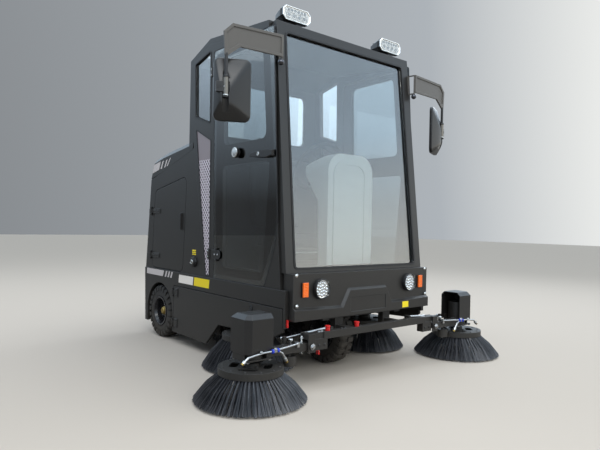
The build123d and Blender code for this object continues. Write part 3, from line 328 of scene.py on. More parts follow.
def buildVentMaterial():
    material = newMaterial("ventSheet", Metallic=0.0)
    tree = material.node_tree
    place = addNode(tree, "NewGeometry").outputs["Position"]
    near = calculate(tree, "MINIMUM", holeLattice(tree, place, 0.0), holeLattice(tree, place, 0.5))
    plain = remap(tree, heightOf(tree, place), *ventLook["plainFrom"])
    mask = calculate(tree, "MULTIPLY", remap(tree, near, *ventLook["holeEdge"]), plain)
    # the hole colour is painted shade, the dark inside behind the sheet
    sheet = colourRamp(tree, mask, ventLook["sheet"], ventLook["hole"]).outputs["Color"]
    bump = addNode(tree, "Bump", {"Height": mask, "Strength": 0.6, "Distance": 0.002}, invert=True)
    return feed(material, {"Color": mixColours(tree, plain, (*ventLook["upper"], 1), sheet),
                           "Roughness": remap(tree, noise(tree, place, 9.0, 4.0), 0, 1, 0.3, 0.5),
                           "Normal": bump.outputs[0]})


def buildBristleMaterial():
    # each strand a slightly different black at random, the palest ones bluish as a painted highlight, paler and
    # dusty towards its worn tip
    material = newMaterial("bristleFibre", Roughness=0.42)
    tree = material.node_tree
    tone = addNode(tree, "Attribute", attribute_name="tone").outputs["Fac"]
    palerAmount = remap(tree, heightOf(tree, addNode(tree, "NewGeometry").outputs["Position"]), 0.05, 0.0, toHigh=0.35)
    shade = calculate(tree, "ADD", tone, palerAmount, clamp=True)
    # the ramp's pale bluish end is a painted highlight on the palest strands
    ramp = colourRamp(tree, shade, (0.006, 0.0075, 0.0115), (0.15, 0.16, 0.185))
    return feed(material, {"Color": ramp.outputs["Color"]})


finish["vent"] = buildVentMaterial()
finish["bristle"] = buildBristleMaterial()

nodeFinish = {
    "screen": ["windscreen"],
    "clear": ["cab_windows"],
    "tinted": ["door_glass_left", "door_glass_right"],
    "tyre": ["rear_tyre_left", "rear_tyre_right", "front_tyre"],
    "rim": ["rear_rim_left", "rear_rim_right", "front_rim"],
    "chassis": ["chassis_frame", "rear_axle", "front_fork", "brush_beam", "brush_arm_left", "brush_arm_right",
                "mid_brush_drives"],
    "disc": ["front_disc_left", "front_disc_right", "mid_disc_left", "mid_disc_right"],
    "cover": ["motor_cover_left", "motor_cover_right"],
    "trim": ["battery_pack", "hopper", "pedals"],
    "console": ["steering_column"],
    "interior": ["cab_floor", "cab_rear_wall"],
    "vent": ["vent_panels"],
    "amber": ["indicators"],
    "redLens": ["tail_lamps"],
    "steel": ["lift_struts", "spray_tubes_left", "spray_tubes_right"],
    "red": ["red_fittings"],
}
finishOf = {name: key for key, names in nodeFinish.items() for name in names}
for name, node in nodes.items():
    node.data.materials.clear()
    node.data.materials.append(finish[finishOf.get(name, "body")])
print("finishes made and given to the frame")


# Mesh building: shapes are gathered in one bmesh and closed as one piece
class Shape:
    def __init__(self):
        self.mesh = bmesh.new()
        self.slots = []

    def paint(self, faces, key):
        if key not in self.slots:
            self.slots.append(key)
        for face in faces:
            face.material_index = self.slots.index(key)

    def box(self, low, high, key):
        place = Matrix.Translation((low + high) / 2) @ Matrix.Diagonal((*(high - low), 1))
        made = bmesh.ops.create_cube(self.mesh, size=1, matrix=place)
        self.paint({f for v in made["verts"] for f in v.link_faces}, key)

    def loft(self, rings, key, closed=False):
        # joins each ring of points to the next, a ring of one point being a tip, and fills the two end rings
        # or, if closed, joins the last ring to the first; key: one finish, or one for each band and end
        rings = [[self.mesh.verts.new(point) for point in ring] for ring in rings]
        bands = []
        for a, b in zip(rings, rings[1:] + rings[:1] if closed else rings[1:]):
            bands.append([])
            for i in range(max(len(a), len(b))):
                corners = [a[i % len(a)], a[(i + 1) % len(a)], b[(i + 1) % len(b)], b[i % len(b)]]
                unique = [c for k, c in enumerate(corners) if c not in corners[:k]]
                bands[-1].append(self.mesh.faces.new(unique))
        if not closed:
            bands += [[self.mesh.faces.new(ring)] if len(ring) > 2 else [] for ring in (rings[0], rings[-1])]
        for band, bandKey in zip(bands, [key] * len(bands) if isinstance(key, str) else key):
            self.paint(band, bandKey)

    def lathe(self, profile, centre, axis, key, steps=24):
        # profile: (radius, height) pairs in millimetres, from one end of the axis to the other
        turn = Vector(axis).to_track_quat("Z", "Y").to_matrix()
        self.loft([[centre + turn @ (Vector((radius * c, radius * s, height)) / 1000)
                    for c, s in (around(steps) if radius else [(0, 0)])] for radius, height in profile], key)

    def tube(self, points, radius, key, sides=10, endRadius=None):
        rings = []
        normal = None
        for i, point in enumerate(points):
            along = (points[min(i + 1, len(points) - 1)] - points[max(i - 1, 0)]).normalized()
            normal = normal or along.orthogonal().normalized()
            normal = (normal - along * normal.dot(along)).normalized()
            other = along.cross(normal)
            r = radius if endRadius is None else radius + (endRadius - radius) * i / (len(points) - 1)
            rings.append([point + (normal * c + other * s) * (r / 1000) for c, s in around(sides)])
        self.loft(rings, key)

    def plate(self, outline, offset, key):
        # a flat outline of points, thickened by the offset vector
        self.loft([outline, [point + Vector(offset) for point in outline]], key)

    def flank(self, face, outline, thick, key):
        # a plate upright along the vehicle, at x = face, from its (y, z) corners
        self.plate([spot(face, y, z) for y, z in outline], (thick / 1000, 0, 0), key)

    def bolt(self, centre, axis, radius, key="chrome"):
        # hexagon head on a washer
        for profile, steps in ((((1.35, 0), (1.35, 0.18), (1.05, 0.2)), 20),
                               (((1, 0.18), (1, 0.75), (0.82, 0.9)), 6)):
            self.lathe([(radius * r, radius * h) for r, h in profile], centre, axis, key, steps)

    def dome(self, centre, axis, radius, key="chrome"):
        profile = ((1.2, 0), (1.2, 0.15), (1, 0.2), (0.8, 0.5), (0.4, 0.68), (0, 0.72))
        self.lathe([(radius * r, radius * h) for r, h in profile], centre, axis, key, 18)

    def plain(self, name, smooth=35):
        bmesh.ops.recalc_face_normals(self.mesh, faces=self.mesh.faces)
        data = bpy.data.meshes.new(name)
        self.mesh.to_mesh(data)
        self.mesh.free()
        for key in self.slots:
            data.materials.append(finish[key])
        for polygon in data.polygons:
            polygon.use_smooth = True
        data.set_sharp_from_angle(angle=math.radians(smooth))
        return addObject(name, data)

    def close(self, name, body, slotName, bevel=0.0, smooth=35):
        piece = self.plain(name, smooth)
        if bevel:
            edge = piece.modifiers.new("edge", "BEVEL")
            edge.width = bevel
            edge.segments = 2
            edge.limit_method = "ANGLE"
            edge.harden_normals = True
        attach(piece, body)
        return piece


def takeShape(piece):
    # leaves what the modifiers make as the piece's own mesh
    bpy.context.view_layer.update()
    graph = bpy.context.evaluated_depsgraph_get()
    made = bpy.data.meshes.new_from_object(piece.evaluated_get(graph))
    piece.modifiers.clear()
    piece.data = made


def cutBy(piece, cutters, smooth):
    for cutter in cutters:
        cut = piece.modifiers.new("cut", "BOOLEAN")
        cut.object = cutter
        cut.solver = "EXACT"
    takeShape(piece)
    piece.data.set_sharp_from_angle(angle=math.radians(smooth))
    for cutter in cutters:
        bpy.data.objects.remove(cutter)


# Disc brushes: rows of tufts of separate strands, flaring down from the disc
brushLook = {"tuftCount": 60, "strands": (20, 14, 8), "rootRadius": (150, 138, 124),
             "tipRadius": (273, 252, 222), "tipHeight": (8, 5.5, 5), "strandRadius": 1.25, "tuftTurn": 2.5,
             "rootTurn": 1.4, "seed": 11, "lowest": 4.2, "ringLow": {"front": 132, "mid": 165}}


def strand(mesh, points, radius, layer, tone):
    rings = []
    for i, point in enumerate(points):
        along = (points[min(i + 1, len(points) - 1)] - points[max(i - 1, 0)]).normalized()
        normal = along.cross(Vector((0, 0, 1))).normalized()
        other = along.cross(normal)
        rings.append([mesh.verts.new(point + (normal * math.cos(a) + other * math.sin(a)) * radius)
                      for a in (0, 2.094, 4.188)])
    for ring in rings:
        for vertex in ring:
            vertex[layer] = tone
    for a, b in zip(rings, rings[1:]):
        for k in range(3):
            mesh.faces.new((a[k], a[(k + 1) % 3], b[(k + 1) % 3], b[k]))
    mesh.faces.new(rings[-1])


def closeStrands(mesh, name, body, node):
    data = bpy.data.meshes.new(name)
    mesh.to_mesh(data)
    mesh.free()
    data.materials.append(finish["bristle"])
    piece = addObject(name, data)
    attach(piece, body)
    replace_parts(piece, node)


def discBrush(name, node, body, ringLow):
    low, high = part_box(node)
    centre = Vector(((low.x + high.x) / 2, (low.y + high.y) / 2, 0))
    rng = random.Random(brushLook["seed"])
    mesh = bmesh.new()
    layer = mesh.verts.layers.float.new("tone")
    for row, count in enumerate(brushLook["strands"]):
        for tuft in range(brushLook["tuftCount"]):
            heading = 2 * math.pi * (tuft + row * 0.5) / brushLook["tuftCount"]
            for n in range(count):
                tipTurn = heading + math.radians(
                    rng.uniform(-1, 1) * brushLook["tuftTurn"] + rng.gauss(0, 0.5))
                rootTurn = heading + math.radians(rng.uniform(-1, 1) * brushLook["rootTurn"])
                root = brushLook["rootRadius"][row] + rng.uniform(-4, 4)
                tipR = brushLook["tipRadius"][row] + rng.uniform(-7, 5)
                tipZ = brushLook["tipHeight"][row] + rng.uniform(-1.5, 5)
                midR = root + (tipR - root) * 0.56
                midZ = ringLow + (tipZ - ringLow) * 0.46 + rng.uniform(-2, 2)
                midTurn = rootTurn * 0.45 + tipTurn * 0.55
                points = [centre + Vector((r * math.cos(a), r * math.sin(a), z)) for r, a, z in (
                    (root / 1000, rootTurn, (ringLow + 2) / 1000), (midR / 1000, midTurn, midZ / 1000),
                    (tipR / 1000, tipTurn, max(tipZ, brushLook["lowest"]) / 1000))]
                strand(mesh, points, brushLook["strandRadius"] / 1000, layer, rng.random() ** 2 * 0.8)
    closeStrands(mesh, name, body, node)


for side, sign in sides:
    for which, ringLow in brushLook["ringLow"].items():
        discBrush(f"{which}Strands_{side}", f"{which}_bristles_{side}", f"{which}_brush_{side}", ringLow)
print("disc brushes strung")

# Main brush between the wheels: a core with chevron rows of strands
rollerLook = {"rows": 16, "core": 62, "radius": 138, "pitch": 9, "strands": 3, "strandRadius": 1.4,
              "half": 400, "shaft": (20, 424), "lead": 1.1, "root": 0.06, "seed": 5}


def rollerBrush():
    low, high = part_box("main_brush")
    centre = (low + high) / 2
    rng = random.Random(rollerLook["seed"])
    shape = Shape()
    coreRadius, coreHalf = rollerLook["core"], rollerLook["half"]
    shaftRadius, shaftHalf = rollerLook["shaft"]
    shape.lathe([(shaftRadius, -shaftHalf), (shaftRadius, -coreHalf), (coreRadius, -coreHalf),
                 (coreRadius, coreHalf), (shaftRadius, coreHalf), (shaftRadius, shaftHalf)],
                centre, (1, 0, 0), "trim", 28)
    core = shape.close("rollerCore", "main_brush", "bristle")
    half, pitch = coreHalf / 1000, rollerLook["pitch"]
    mesh = bmesh.new()
    layer = mesh.verts.layers.float.new("tone")
    for row in range(rollerLook["rows"]):
        for i in range(int(2 * half * 1000 / pitch)):
            x = -half + 0.004 + i * pitch / 1000
            lead = abs(x) / half * rollerLook["lead"]
            for n in range(rollerLook["strands"]):
                a = 2 * math.pi * row / rollerLook["rows"] + lead + rng.gauss(0, 0.03)
                reach = (rollerLook["radius"] - rng.uniform(0, 5)) / 1000
                outward = Vector((rng.gauss(0, 0.02), math.cos(a), math.sin(a))).normalized()
                start = centre + Vector((x + rng.uniform(-1, 1) * 0.003, 0, 0))
                strand(mesh, [start + outward * rollerLook["root"], start + outward * reach],
                       rollerLook["strandRadius"] / 1000, layer, rng.random() ** 2 * 0.8)
    closeStrands(mesh, "rollerStrands", "main_brush", "main_brush")
    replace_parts(core, "main_brush")


rollerBrush()
print("roller brush strung")

# Wheels: hub nuts on their studs and a brass cap on each rim
wheelLook = {"nutCircle": 44, "nuts": 5, "nutTurn": 0.3, "nutRadius": 9, "sunk": 38, "nutSunk": 18,
             "cap": ((31, -4), (31, 4), (26, 6), (26, 12), (21, 17), (0, 19))}


def wheelDetail(side, body, rimNode, outward):
    low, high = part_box(rimNode)
    centre = (low + high) / 2
    centre.x = (low.x if outward < 0 else high.x) - outward * wheelLook["sunk"] / 1000
    sunk, circle = wheelLook["nutSunk"], wheelLook["nutCircle"]
    shape = Shape()
    for c, s in around(wheelLook["nuts"], wheelLook["nutTurn"]):
        place = centre + Vector((-outward * sunk, c * circle, s * circle)) / 1000
        shape.bolt(place, (outward, 0, 0), wheelLook["nutRadius"], "steel")
        shape.lathe([(4, 0), (4, sunk)], place, (outward, 0, 0), "steel", 10)
    shape.lathe(wheelLook["cap"], centre, (outward, 0, 0), "brass", 28)
    shape.close(f"wheelNuts_{side}", body, "rim")


wheelDetail("rear_right", "rear_wheel_right", "rear_rim_right", -1)
wheelDetail("rear_left", "rear_wheel_left", "rear_rim_left", 1)
wheelDetail("front", "front_wheel", "front_rim", -1)
print("wheels dressed")

# Lamps in the front panel: bowl with round cells, clear lens, black rim
lampLook = {"place": (368, 0, 504), "cells": ((0, 1), (17, 6), (34, 12)), "cellRadius": 8.2, "screws": 51.5,
            "rim": ((55, -15.5), (55, 6), (53, 9.5), (50, 9.5), (50, 2), (48.5, -6), (48.5, -15.5)),
            "bowl": ((48.2, -12), (48.2, -2), (0, -2)),
            "lens": ((49.5, 5.6), (49.5, 6.6), (42, 8.5), (25, 9.7), (0, 9.9))}
for side, sign in sides:
    x, y, z = lampLook["place"]
    centre = spot(sign * x, y, z)
    shape = Shape()
    shape.lathe(lampLook["rim"], centre, forward, "trim", 40)
    shape.lathe(lampLook["bowl"], centre, forward, "reflector", 40)
    r = lampLook["cellRadius"]
    for ring, count in lampLook["cells"]:
        for c, s in around(count, ring):
            shape.lathe([(r, 0), (r, 1), (r * 0.86, 3.5), (r * 0.5, 5.5), (0, 6.2)],
                        centre + Vector((c * ring, 2, s * ring)) / 1000, forward, "reflector", 14)
    for c, s in around(4, math.pi / 4):
        shape.dome(centre + Vector((c * lampLook["screws"], -9, s * lampLook["screws"])) / 1000, forward, 2.2)
    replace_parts(shape.close(f"headlampBowl_{side}", "sweeper", "lamp_clear"), "headlamps")
    lens = Shape()
    lens.lathe(lampLook["lens"], centre, forward, "lens", 40)
    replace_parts(lens.close(f"headlampLens_{side}", "sweeper", "lamp_clear"), "headlamps")

# Amber indicators: ribbed lens on a thin black foot
indicatorLook = {"x": 481, "z": 504, "half": (20, 40), "ribs": 9, "margin": 1.5}
shape = Shape()
for side, sign in sides:
    x, z = sign * indicatorLook["x"], indicatorLook["z"]
    (wide, tall), margin = indicatorLook["half"], indicatorLook["margin"]
    shape.box(spot(x - wide, 9, z - tall), spot(x + wide, 15.7, z + tall), "trim")
    shape.box(spot(x - wide + margin, 2.5, z - tall + margin), spot(x + wide - margin, 10, z + tall - margin),
              "amber")
    for i in range(indicatorLook["ribs"]):
        ribZ = z - tall + 6 + i * (2 * tall - 12) / (indicatorLook["ribs"] - 1)
        shape.box(spot(x - wide + 4, 1.4, ribZ - 1.5), spot(x + wide - 4, 4, ribZ + 1.5), "amber")
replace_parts(shape.close("indicatorLenses", "sweeper", "lamp_amber", bevel=0.0012), "indicators")
print("front lamps built")

# Work lamps on the roof edge: finned housing, cream face in a plated rim, four cups, small ones above;
# rings: scale across, scale upwards and depth of each outline of the housing, from the face backwards
workLook = {"x": 400, "z": 2048, "face": 226, "half": (102, 41), "cut": 22, "cups": (-57, -19, 19, 57),
            "cupZ": -9, "small": (-60, -36, -12, 12, 36, 60), "smallZ": 21, "foot": (26, 12, 60, 98),
            "footLow": 1992,
            "rings": ((0.9, 0.8, 5), (0.94, 0.88, 1), (0.985, 0.97, 0.5), (1, 1, 4), (1, 1, 30),
                      (0.96, 0.94, 34), (0.9, 0.86, 60), (0.72, 0.6, 112)),
            "keys": ("reflector",) * 3 + ("cover",) * 4 + ("lampFace", "cover"),
            "rim": ((18.5, 0), (18.5, 2.5), (16.5, 3), (15, 2.2), (10.5, 0.8), (0, 0.6)),
            "cup": ((10, 0.6), (9, 1.6), (0, 1.8)), "smallCup": ((8.5, 0), (7.5, 1.2), (4.5, 0.8), (0, 0.6)),
            "glass": ((-88, -17), (-70, -33), (70, -33), (88, -17), (88, 17), (70, 33), (-70, 33), (-88, 17))}


def workLamp(side, sign):
    x, z, y = sign * workLook["x"], workLook["z"], workLook["face"]

    def housing(scaleX, scaleZ, depth):
        cutX, cutZ = workLook["cut"] * scaleX, workLook["cut"] * scaleZ
        w, t = workLook["half"][0] * scaleX, workLook["half"][1] * scaleZ
        corners = [(-w, -t + cutZ), (-w + cutX, -t), (w - cutX, -t), (w, -t + cutZ),
                   (w, t - cutZ), (w - cutX, t), (-w + cutX, t), (-w, t - cutZ)]
        return [spot(x + cx, y + depth, z + cz) for cx, cz in corners]

    shape = Shape()
    shape.loft([housing(*ring) for ring in workLook["rings"]], workLook["keys"])
    for cx in workLook["cups"]:
        place = spot(x + cx, y + 5, z + workLook["cupZ"])
        shape.lathe(workLook["rim"], place, forward, "lampFace", 20)
        shape.lathe(workLook["cup"], place, forward, "lampCup", 14)
    for cx in workLook["small"]:
        shape.lathe(workLook["smallCup"], spot(x + cx, y + 5, z + workLook["smallZ"]), forward, "lampCup", 12)
    for i in range(7):
        finX = x - 66 + i * 22
        shape.box(spot(finX - 1.5, y + 44, z + 22), spot(finX + 1.5, y + 100, z + 33 - abs(i - 3)), "cover")
    footX, wide, near, far = workLook["foot"]
    for s in (-1, 1):
        shape.box(spot(x + s * footX - wide, y + near, workLook["footLow"]),
                  spot(x + s * footX + wide, y + far, z - 20), "trim")
        shape.bolt(spot(x + s * footX, y + 79, 2001), up, 6)
    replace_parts(shape.close(f"workLampHousing_{side}", "sweeper", "lamp_clear", bevel=0.0012), "work_lamps")
    glass = Shape()
    glass.plate([spot(x + cx, y + 1.2, z + cz) for cx, cz in workLook["glass"]], (0, 0.0006, 0), "lens")
    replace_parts(glass.close(f"workLampLens_{side}", "sweeper", "lamp_clear"), "work_lamps")


for side, sign in sides:
    workLamp(side, sign)
print("work lamps built")

# Screws that hold the front panel, and its bare yellow spot
panelLook = {"screwX": 537, "screws": ((581, 15.8), (420, 8)),
             "spot": ((303, 349), (360, 349), (360, 386), (303, 386))}
shape = Shape()
for sign in (-1, 1):
    for z, y in panelLook["screws"]:
        shape.dome(spot(sign * panelLook["screwX"], y, z), forward, 9)
shape.close("panelScrews", "sweeper", "trim")
shape = Shape()
shape.plate([spot(x, -0.3, z) for x, z in panelLook["spot"]], (0, 0.0004, 0), "yellowTape")
shape.close("panelSpot", "sweeper", "body")

# Hood: a raised top with bevelled shoulders over the body's lower one, and a filler under the cab's corner
hoodLook = {"half": 574.4, "bevel": 44, "front": (1165.5, 1333, 1417.6), "knee": (1560, 1226, 1368),
            "rearTop": (1752, 1330), "sideCorner": (1716, 1292.5), "rearLow": (1763.9, 1218),
            "foot": (1768, 1178), "filler": ((1110, 1350), (1110, 1393.5), (1166, 1379), (1166, 1335)),
            "fillerFace": 574.2}
shape = Shape()
half, bevel = hoodLook["half"], hoodLook["bevel"]
inner = half - bevel
(frontY, frontLow, frontTop), (kneeY, kneeLow, kneeTop) = hoodLook["front"], hoodLook["knee"]
hoodCorners = {
    "a": (half, frontY, frontLow), "b": (half, frontY, frontTop - bevel), "c": (half, kneeY, kneeTop - bevel),
    "d": (half, *hoodLook["sideCorner"]), "e": (half, *hoodLook["foot"]), "f": (half, kneeY, kneeLow),
    "g": (inner, frontY, frontTop), "h": (inner, kneeY, kneeTop), "i": (inner, *hoodLook["rearTop"]),
    "j": (inner, *hoodLook["rearLow"])}
corners = {(side, name): shape.mesh.verts.new(spot(sign * x, y, z))
           for side, sign in sides for name, (x, y, z) in hoodCorners.items()}
faces = [shape.mesh.faces.new([corners[side, name] for name in names])
         for side, sign in sides for names in ("abcdef", "bghc", "chid", "dije")]
for names in ("gh", "hi", "ij", "je", "abg", "afe"):
    faces.append(shape.mesh.faces.new([corners["right", name] for name in names]
                                      + [corners["left", name] for name in reversed(names)]))
shape.paint(faces, "body")
for side, sign in sides:
    shape.flank(sign * hoodLook["fillerFace"], hoodLook["filler"], -sign * 30, "body")
shape.close("raisedHood", "sweeper", "body", smooth=25)
print("hood raised")

# Stripes on the belt: silver run with three slanted bars, a plain white bar and a plain yellow one
stripeLook = {"face": 581.3, "thick": 0.8, "run": ((1800, 452), (1520, 452), (1500, 495), (1800, 495)),
              "bars": (1478, 1434, 1390), "bar": ((10, 452), (-12, 452), (-32, 495), (-10, 495)),
              "plain": ((1268, 1062, "whiteTape"), (1048, 849, "yellowTape"))}
shape = Shape()
for side, sign in sides:
    face, thick = sign * stripeLook["face"], -sign * stripeLook["thick"]
    shape.flank(face, stripeLook["run"], thick, "silverTape")
    for bar in stripeLook["bars"]:
        shape.flank(face, [(bar + y, z) for y, z in stripeLook["bar"]], thick, "silverTape")
    for a, b, key in stripeLook["plain"]:
        shape.flank(face, ((a, 430), (b, 430), (b - 6, 486), (a - 6, 486)), thick, key)
shape.close("beltStripes", "sweeper", "body")

# Stripes on the hood: the same run and bars, and a corner piece that turns onto the rear
upperLook = {"face": 575, "thick": 0.4, "corner": ((552, 1754.5, 1221), (552, 1737.5, 1286)),
             "run": ((1745, 1221), (1718, 1286), (1606, 1303), (1633, 1243)),
             "bars": (((1612, 1246), (1586, 1247), (1555, 1306), (1577, 1302)),
                      ((1548, 1252), (1529, 1254), (1493, 1310), (1513, 1308)),
                      ((1510, 1259), (1490, 1262), (1440, 1318), (1456, 1316)))}
shape = Shape()
for side, sign in sides:
    for outline in (upperLook["run"], *upperLook["bars"]):
        shape.flank(sign * upperLook["face"], outline, -sign * upperLook["thick"], "silverTape")
    near, far = ((upperLook["face"], *corner) for corner in upperLook["run"][:2])
    shape.plate([spot(sign * x, y, z) for x, y, z in (near, *upperLook["corner"], far)],
                Vector((sign, 1, 0.25)) * upperLook["thick"] / 1000, "silverTape")
shape.close("hoodStripes", "sweeper", "body")
print("stripes laid")


# Rounded outlines and the strips that follow them, for seals, glass borders and pads
def roundOutline(corners, radii, steps=7):
    points = []
    count = len(corners)
    for i, corner in enumerate(corners):
        radius = radii[i] if isinstance(radii, (list, tuple)) else radii
        here = Vector(corner)
        back = (Vector(corners[i - 1]) - here).normalized()
        on = (Vector(corners[(i + 1) % count]) - here).normalized()
        half = back.angle(on) / 2
        middle = here + (back + on).normalized() * radius / math.sin(half)
        start = here + back * radius / math.tan(half) - middle
        end = here + on * radius / math.tan(half) - middle
        sweep = start.angle(end)
        for k in range(steps + 1):
            t = k / steps
            points.append(middle + (start * math.sin((1 - t) * sweep)
                                    + end * math.sin(t * sweep)) / math.sin(sweep))
    return points


def roundBox(x0, x1, y0, y1, radius, steps=7):
    return roundOutline([(x0, y0), (x1, y0), (x1, y1), (x0, y1)], radius, steps)


def strip(shape, outline, place, wide, deep, key):
    # a band along the closed outline: wide gives its two offsets in the outline's plane, deep its two heights
    count = len(outline)
    area = sum(outline[i - 1].x * outline[i].y - outline[i].x * outline[i - 1].y for i in range(count))
    turn = 1 if area > 0 else -1
    rings = []
    for i, point in enumerate(outline):
        along = (outline[(i + 1) % count] - outline[i - 1]).normalized()
        out = Vector((along.y, -along.x)) * turn
        rings.append([place(point + out * w, d) for w, d in (
            (wide[0], deep[0]), (wide[1], deep[0]), (wide[1], deep[1]), (wide[0], deep[1]))])
    shape.loft(rings, key, closed=True)


# Windscreen: rubber gasket on the slanted frame, and the dark border behind the glass
screenLook = {"foot": (71, 589), "slope": 5.902, "radius": 22,
              "corners": ((-503, 24), (503, 24), (494, 1344.4), (-494, 1344.4)),
              "gasket": ((-5, 7), (-0.2, 3)), "border": ((-12, -0.6), (-20.4, -32))}


def onScreen(point, height):
    # x across and y up the slanted screen, height in front of its face
    lean = math.radians(screenLook["slope"])
    return spot(point.x, screenLook["foot"][0] + point.y * math.sin(lean) - height * math.cos(lean),
                screenLook["foot"][1] + point.y * math.cos(lean) + height * math.sin(lean))


shape = Shape()
for band in ("gasket", "border"):
    strip(shape, roundOutline(screenLook["corners"], screenLook["radius"]), onScreen, *screenLook[band], "seal")
shape.close("screenGasket", "sweeper", "body", smooth=50)
print("windscreen sealed")

# Door surround: rubber in the gap round the glass, printed border behind it, seals round the two panes
doorLook = {"glass": ((805, 504), (847, 1945), (214, 1945), (140, 780), (258, 504)),
            "bends": (14, 14, 14, 600, 14),
            "panes": ((((716, 1333), (738, 1880), (318, 1880), (264, 1333)), 40),
                      (((705, 577), (722, 1205), (228, 1205), (278, 577)), 32)),
            "quarter": ((1097, 1918), (1082, 1562), (884, 1495), (893, 1965)),
            "vent": ((1067, 1473), (874, 1384), (862, 512), (908, 512)), "face": 574, "hingeY": 853,
            "hinges": (652, 1820), "rearPane": (-430, 430, 1470, 1860, 40)}
for side, sign in sides:
    def onSide(point, height):
        # x back from the panel's face and y up, height out from the side of the cab
        return spot(sign * (doorLook["face"] + height), point.x, point.y)

    outline = roundOutline(doorLook["glass"], doorLook["bends"], 14)
    shape = Shape()
    strip(shape, outline, onSide, (0.9, 4.8), (-6.4, 1.2), "seal")
    shape.close(f"doorGapSeal_{side}", "sweeper", "body", smooth=50)
    shape = Shape()
    strip(shape, outline, onSide, (-24, -0.6), (-6.15, -6.45), "seal")
    for pane, radius in doorLook["panes"]:
        strip(shape, roundOutline(pane, radius), onSide, (-5, 5), (-32.1, -35), "seal")
    shape.close(f"doorBorder_{side}", f"cab_door_{side}", "body", smooth=50)
    shape = Shape()
    strip(shape, roundOutline(doorLook["quarter"], 14), onSide, (-4, 5), (-1, 2.2), "seal")
    strip(shape, roundOutline(doorLook["vent"], 4), onSide, (-3, 4), (-0.5, 1.6), "seal")
    shape.close(f"sideSeals_{side}", "sweeper", "body", smooth=50)
shape = Shape()
strip(shape, roundBox(*doorLook["rearPane"]),
      lambda point, height: spot(point.x, 1165 + height, point.y), (-5, 7), (-1, 3), "seal")
shape.close("rearWindowSeal", "sweeper", "body", smooth=50)
print("doors and side windows sealed")

# Door handles with plated lock knobs, hinge discs with their screws and lugs, and the hinges' own screws
handleLook = {"knob": (545, 1272), "key": (303, 1243), "disc": (768, 652), "discHalf": (52, 27),
              "lever": ((176, 1228), (174, 1254), (236, 1263), (388, 1251), (388, 1233), (236, 1219)),
              "knobCap": ((29.5, 26.2), (30.5, 28.5), (29, 31), (24, 32.5), (23.5, 31.5), (12, 32.5), (0, 33)),
              "knobFoot": ((27.5, 9), (31, 10.5), (31, 26.2), (27.5, 26.2)),
              "barrel": ((11, 25.8), (11, 28.2), (9, 29), (8.5, 28.2), (0, 28.2))}
for side, sign in sides:
    body = f"cab_door_{side}"
    face = sign * doorLook["face"]
    out = (sign, 0, 0)
    shape = Shape()
    shape.lathe(handleLook["knobCap"], spot(face, *handleLook["knob"]), out, "chrome", 36)
    shape.lathe(handleLook["knobFoot"], spot(face, *handleLook["knob"]), out, "trim", 36)
    shape.flank(face + sign * 20.2, handleLook["lever"], sign * 6, "trim")
    y, z = handleLook["key"]
    shape.lathe(handleLook["barrel"], spot(face, y, z), out, "chrome", 24)
    shape.box(spot(face + sign * 28.0, y - 1, z - 5), spot(face + sign * 28.6, y + 1, z + 5), "seal")
    shape.close(f"doorHandle_{side}", body, "body", bevel=0.0016)
    shape = Shape()
    y, z = handleLook["disc"]
    long, tall = handleLook["discHalf"]
    shape.flank(face + sign * 6.2, [(y + math.copysign(long - tall, c) + tall * c, z + tall * s)
                                    for c, s in around(24)], sign * 3, "trim")
    for screwY in (y - 18, y + 18):
        shape.dome(spot(face + sign * 9.2, screwY, z), out, 4.8, "steel")
    for lugZ in (z - 41, z + 28):
        shape.box(spot(face + sign * 6.2, y - 8, lugZ), spot(face + sign * 12, y + 12, lugZ + 13), "trim")
    for screwY in (doorLook["hingeY"] - 92, doorLook["hingeY"] - 52):
        shape.dome(spot(face + sign * 6, screwY, doorLook["hinges"][1]), out, 6.5, "trim")
    shape.close(f"hingeDisc_{side}", body, "body", bevel=0.0012)
    shape = Shape()
    for hingeZ in doorLook["hinges"]:
        for screwZ in (hingeZ - 18, hingeZ + 18):
            shape.dome(spot(face + sign * 6, doorLook["hingeY"] + 22, screwZ), out, 5)
    shape.close(f"hingeScrews_{side}", "sweeper", "body")
print("door fittings built")

# Rear body: filler lock with its plated barrel and yellow tag, slotted catch on the skirt, hinge screws
lockLook = {"face": 574, "place": (1060, 588), "lugs": 33, "tag": (1040, 1092),
            "tagRows": ((634, 642), (646, 654), (658, 668)),
            "turned": ((((36, 0), (36, 6), (33, 10.5), (31, 10.5)), "seal", 32),
                       (((30.5, 9), (30.5, 18), (27, 20.5), (19, 20.5)), "trim", 32),
                       (((15.5, 20.5), (14.5, 23.5), (10.5, 24.5), (9.5, 22.5), (0, 22.5)), "chrome", 28),
                       (((9.2, 22.5), (8.5, 23.5), (0, 23.5)), "trim", 20))}
skirtLook = {"key": (367, 371), "screwY": 1293, "hinges": (142, 356),
             "catch": ((17, -0.2), (17, 3), (14, 4.5), (13, 3), (0, 3))}
serviceLook = {"hinges": (600, 933), "screws": (1630, 1670, 1706),
               "grip": ((1246, 804), (1260, 804), (1260, 912), (1246, 912))}
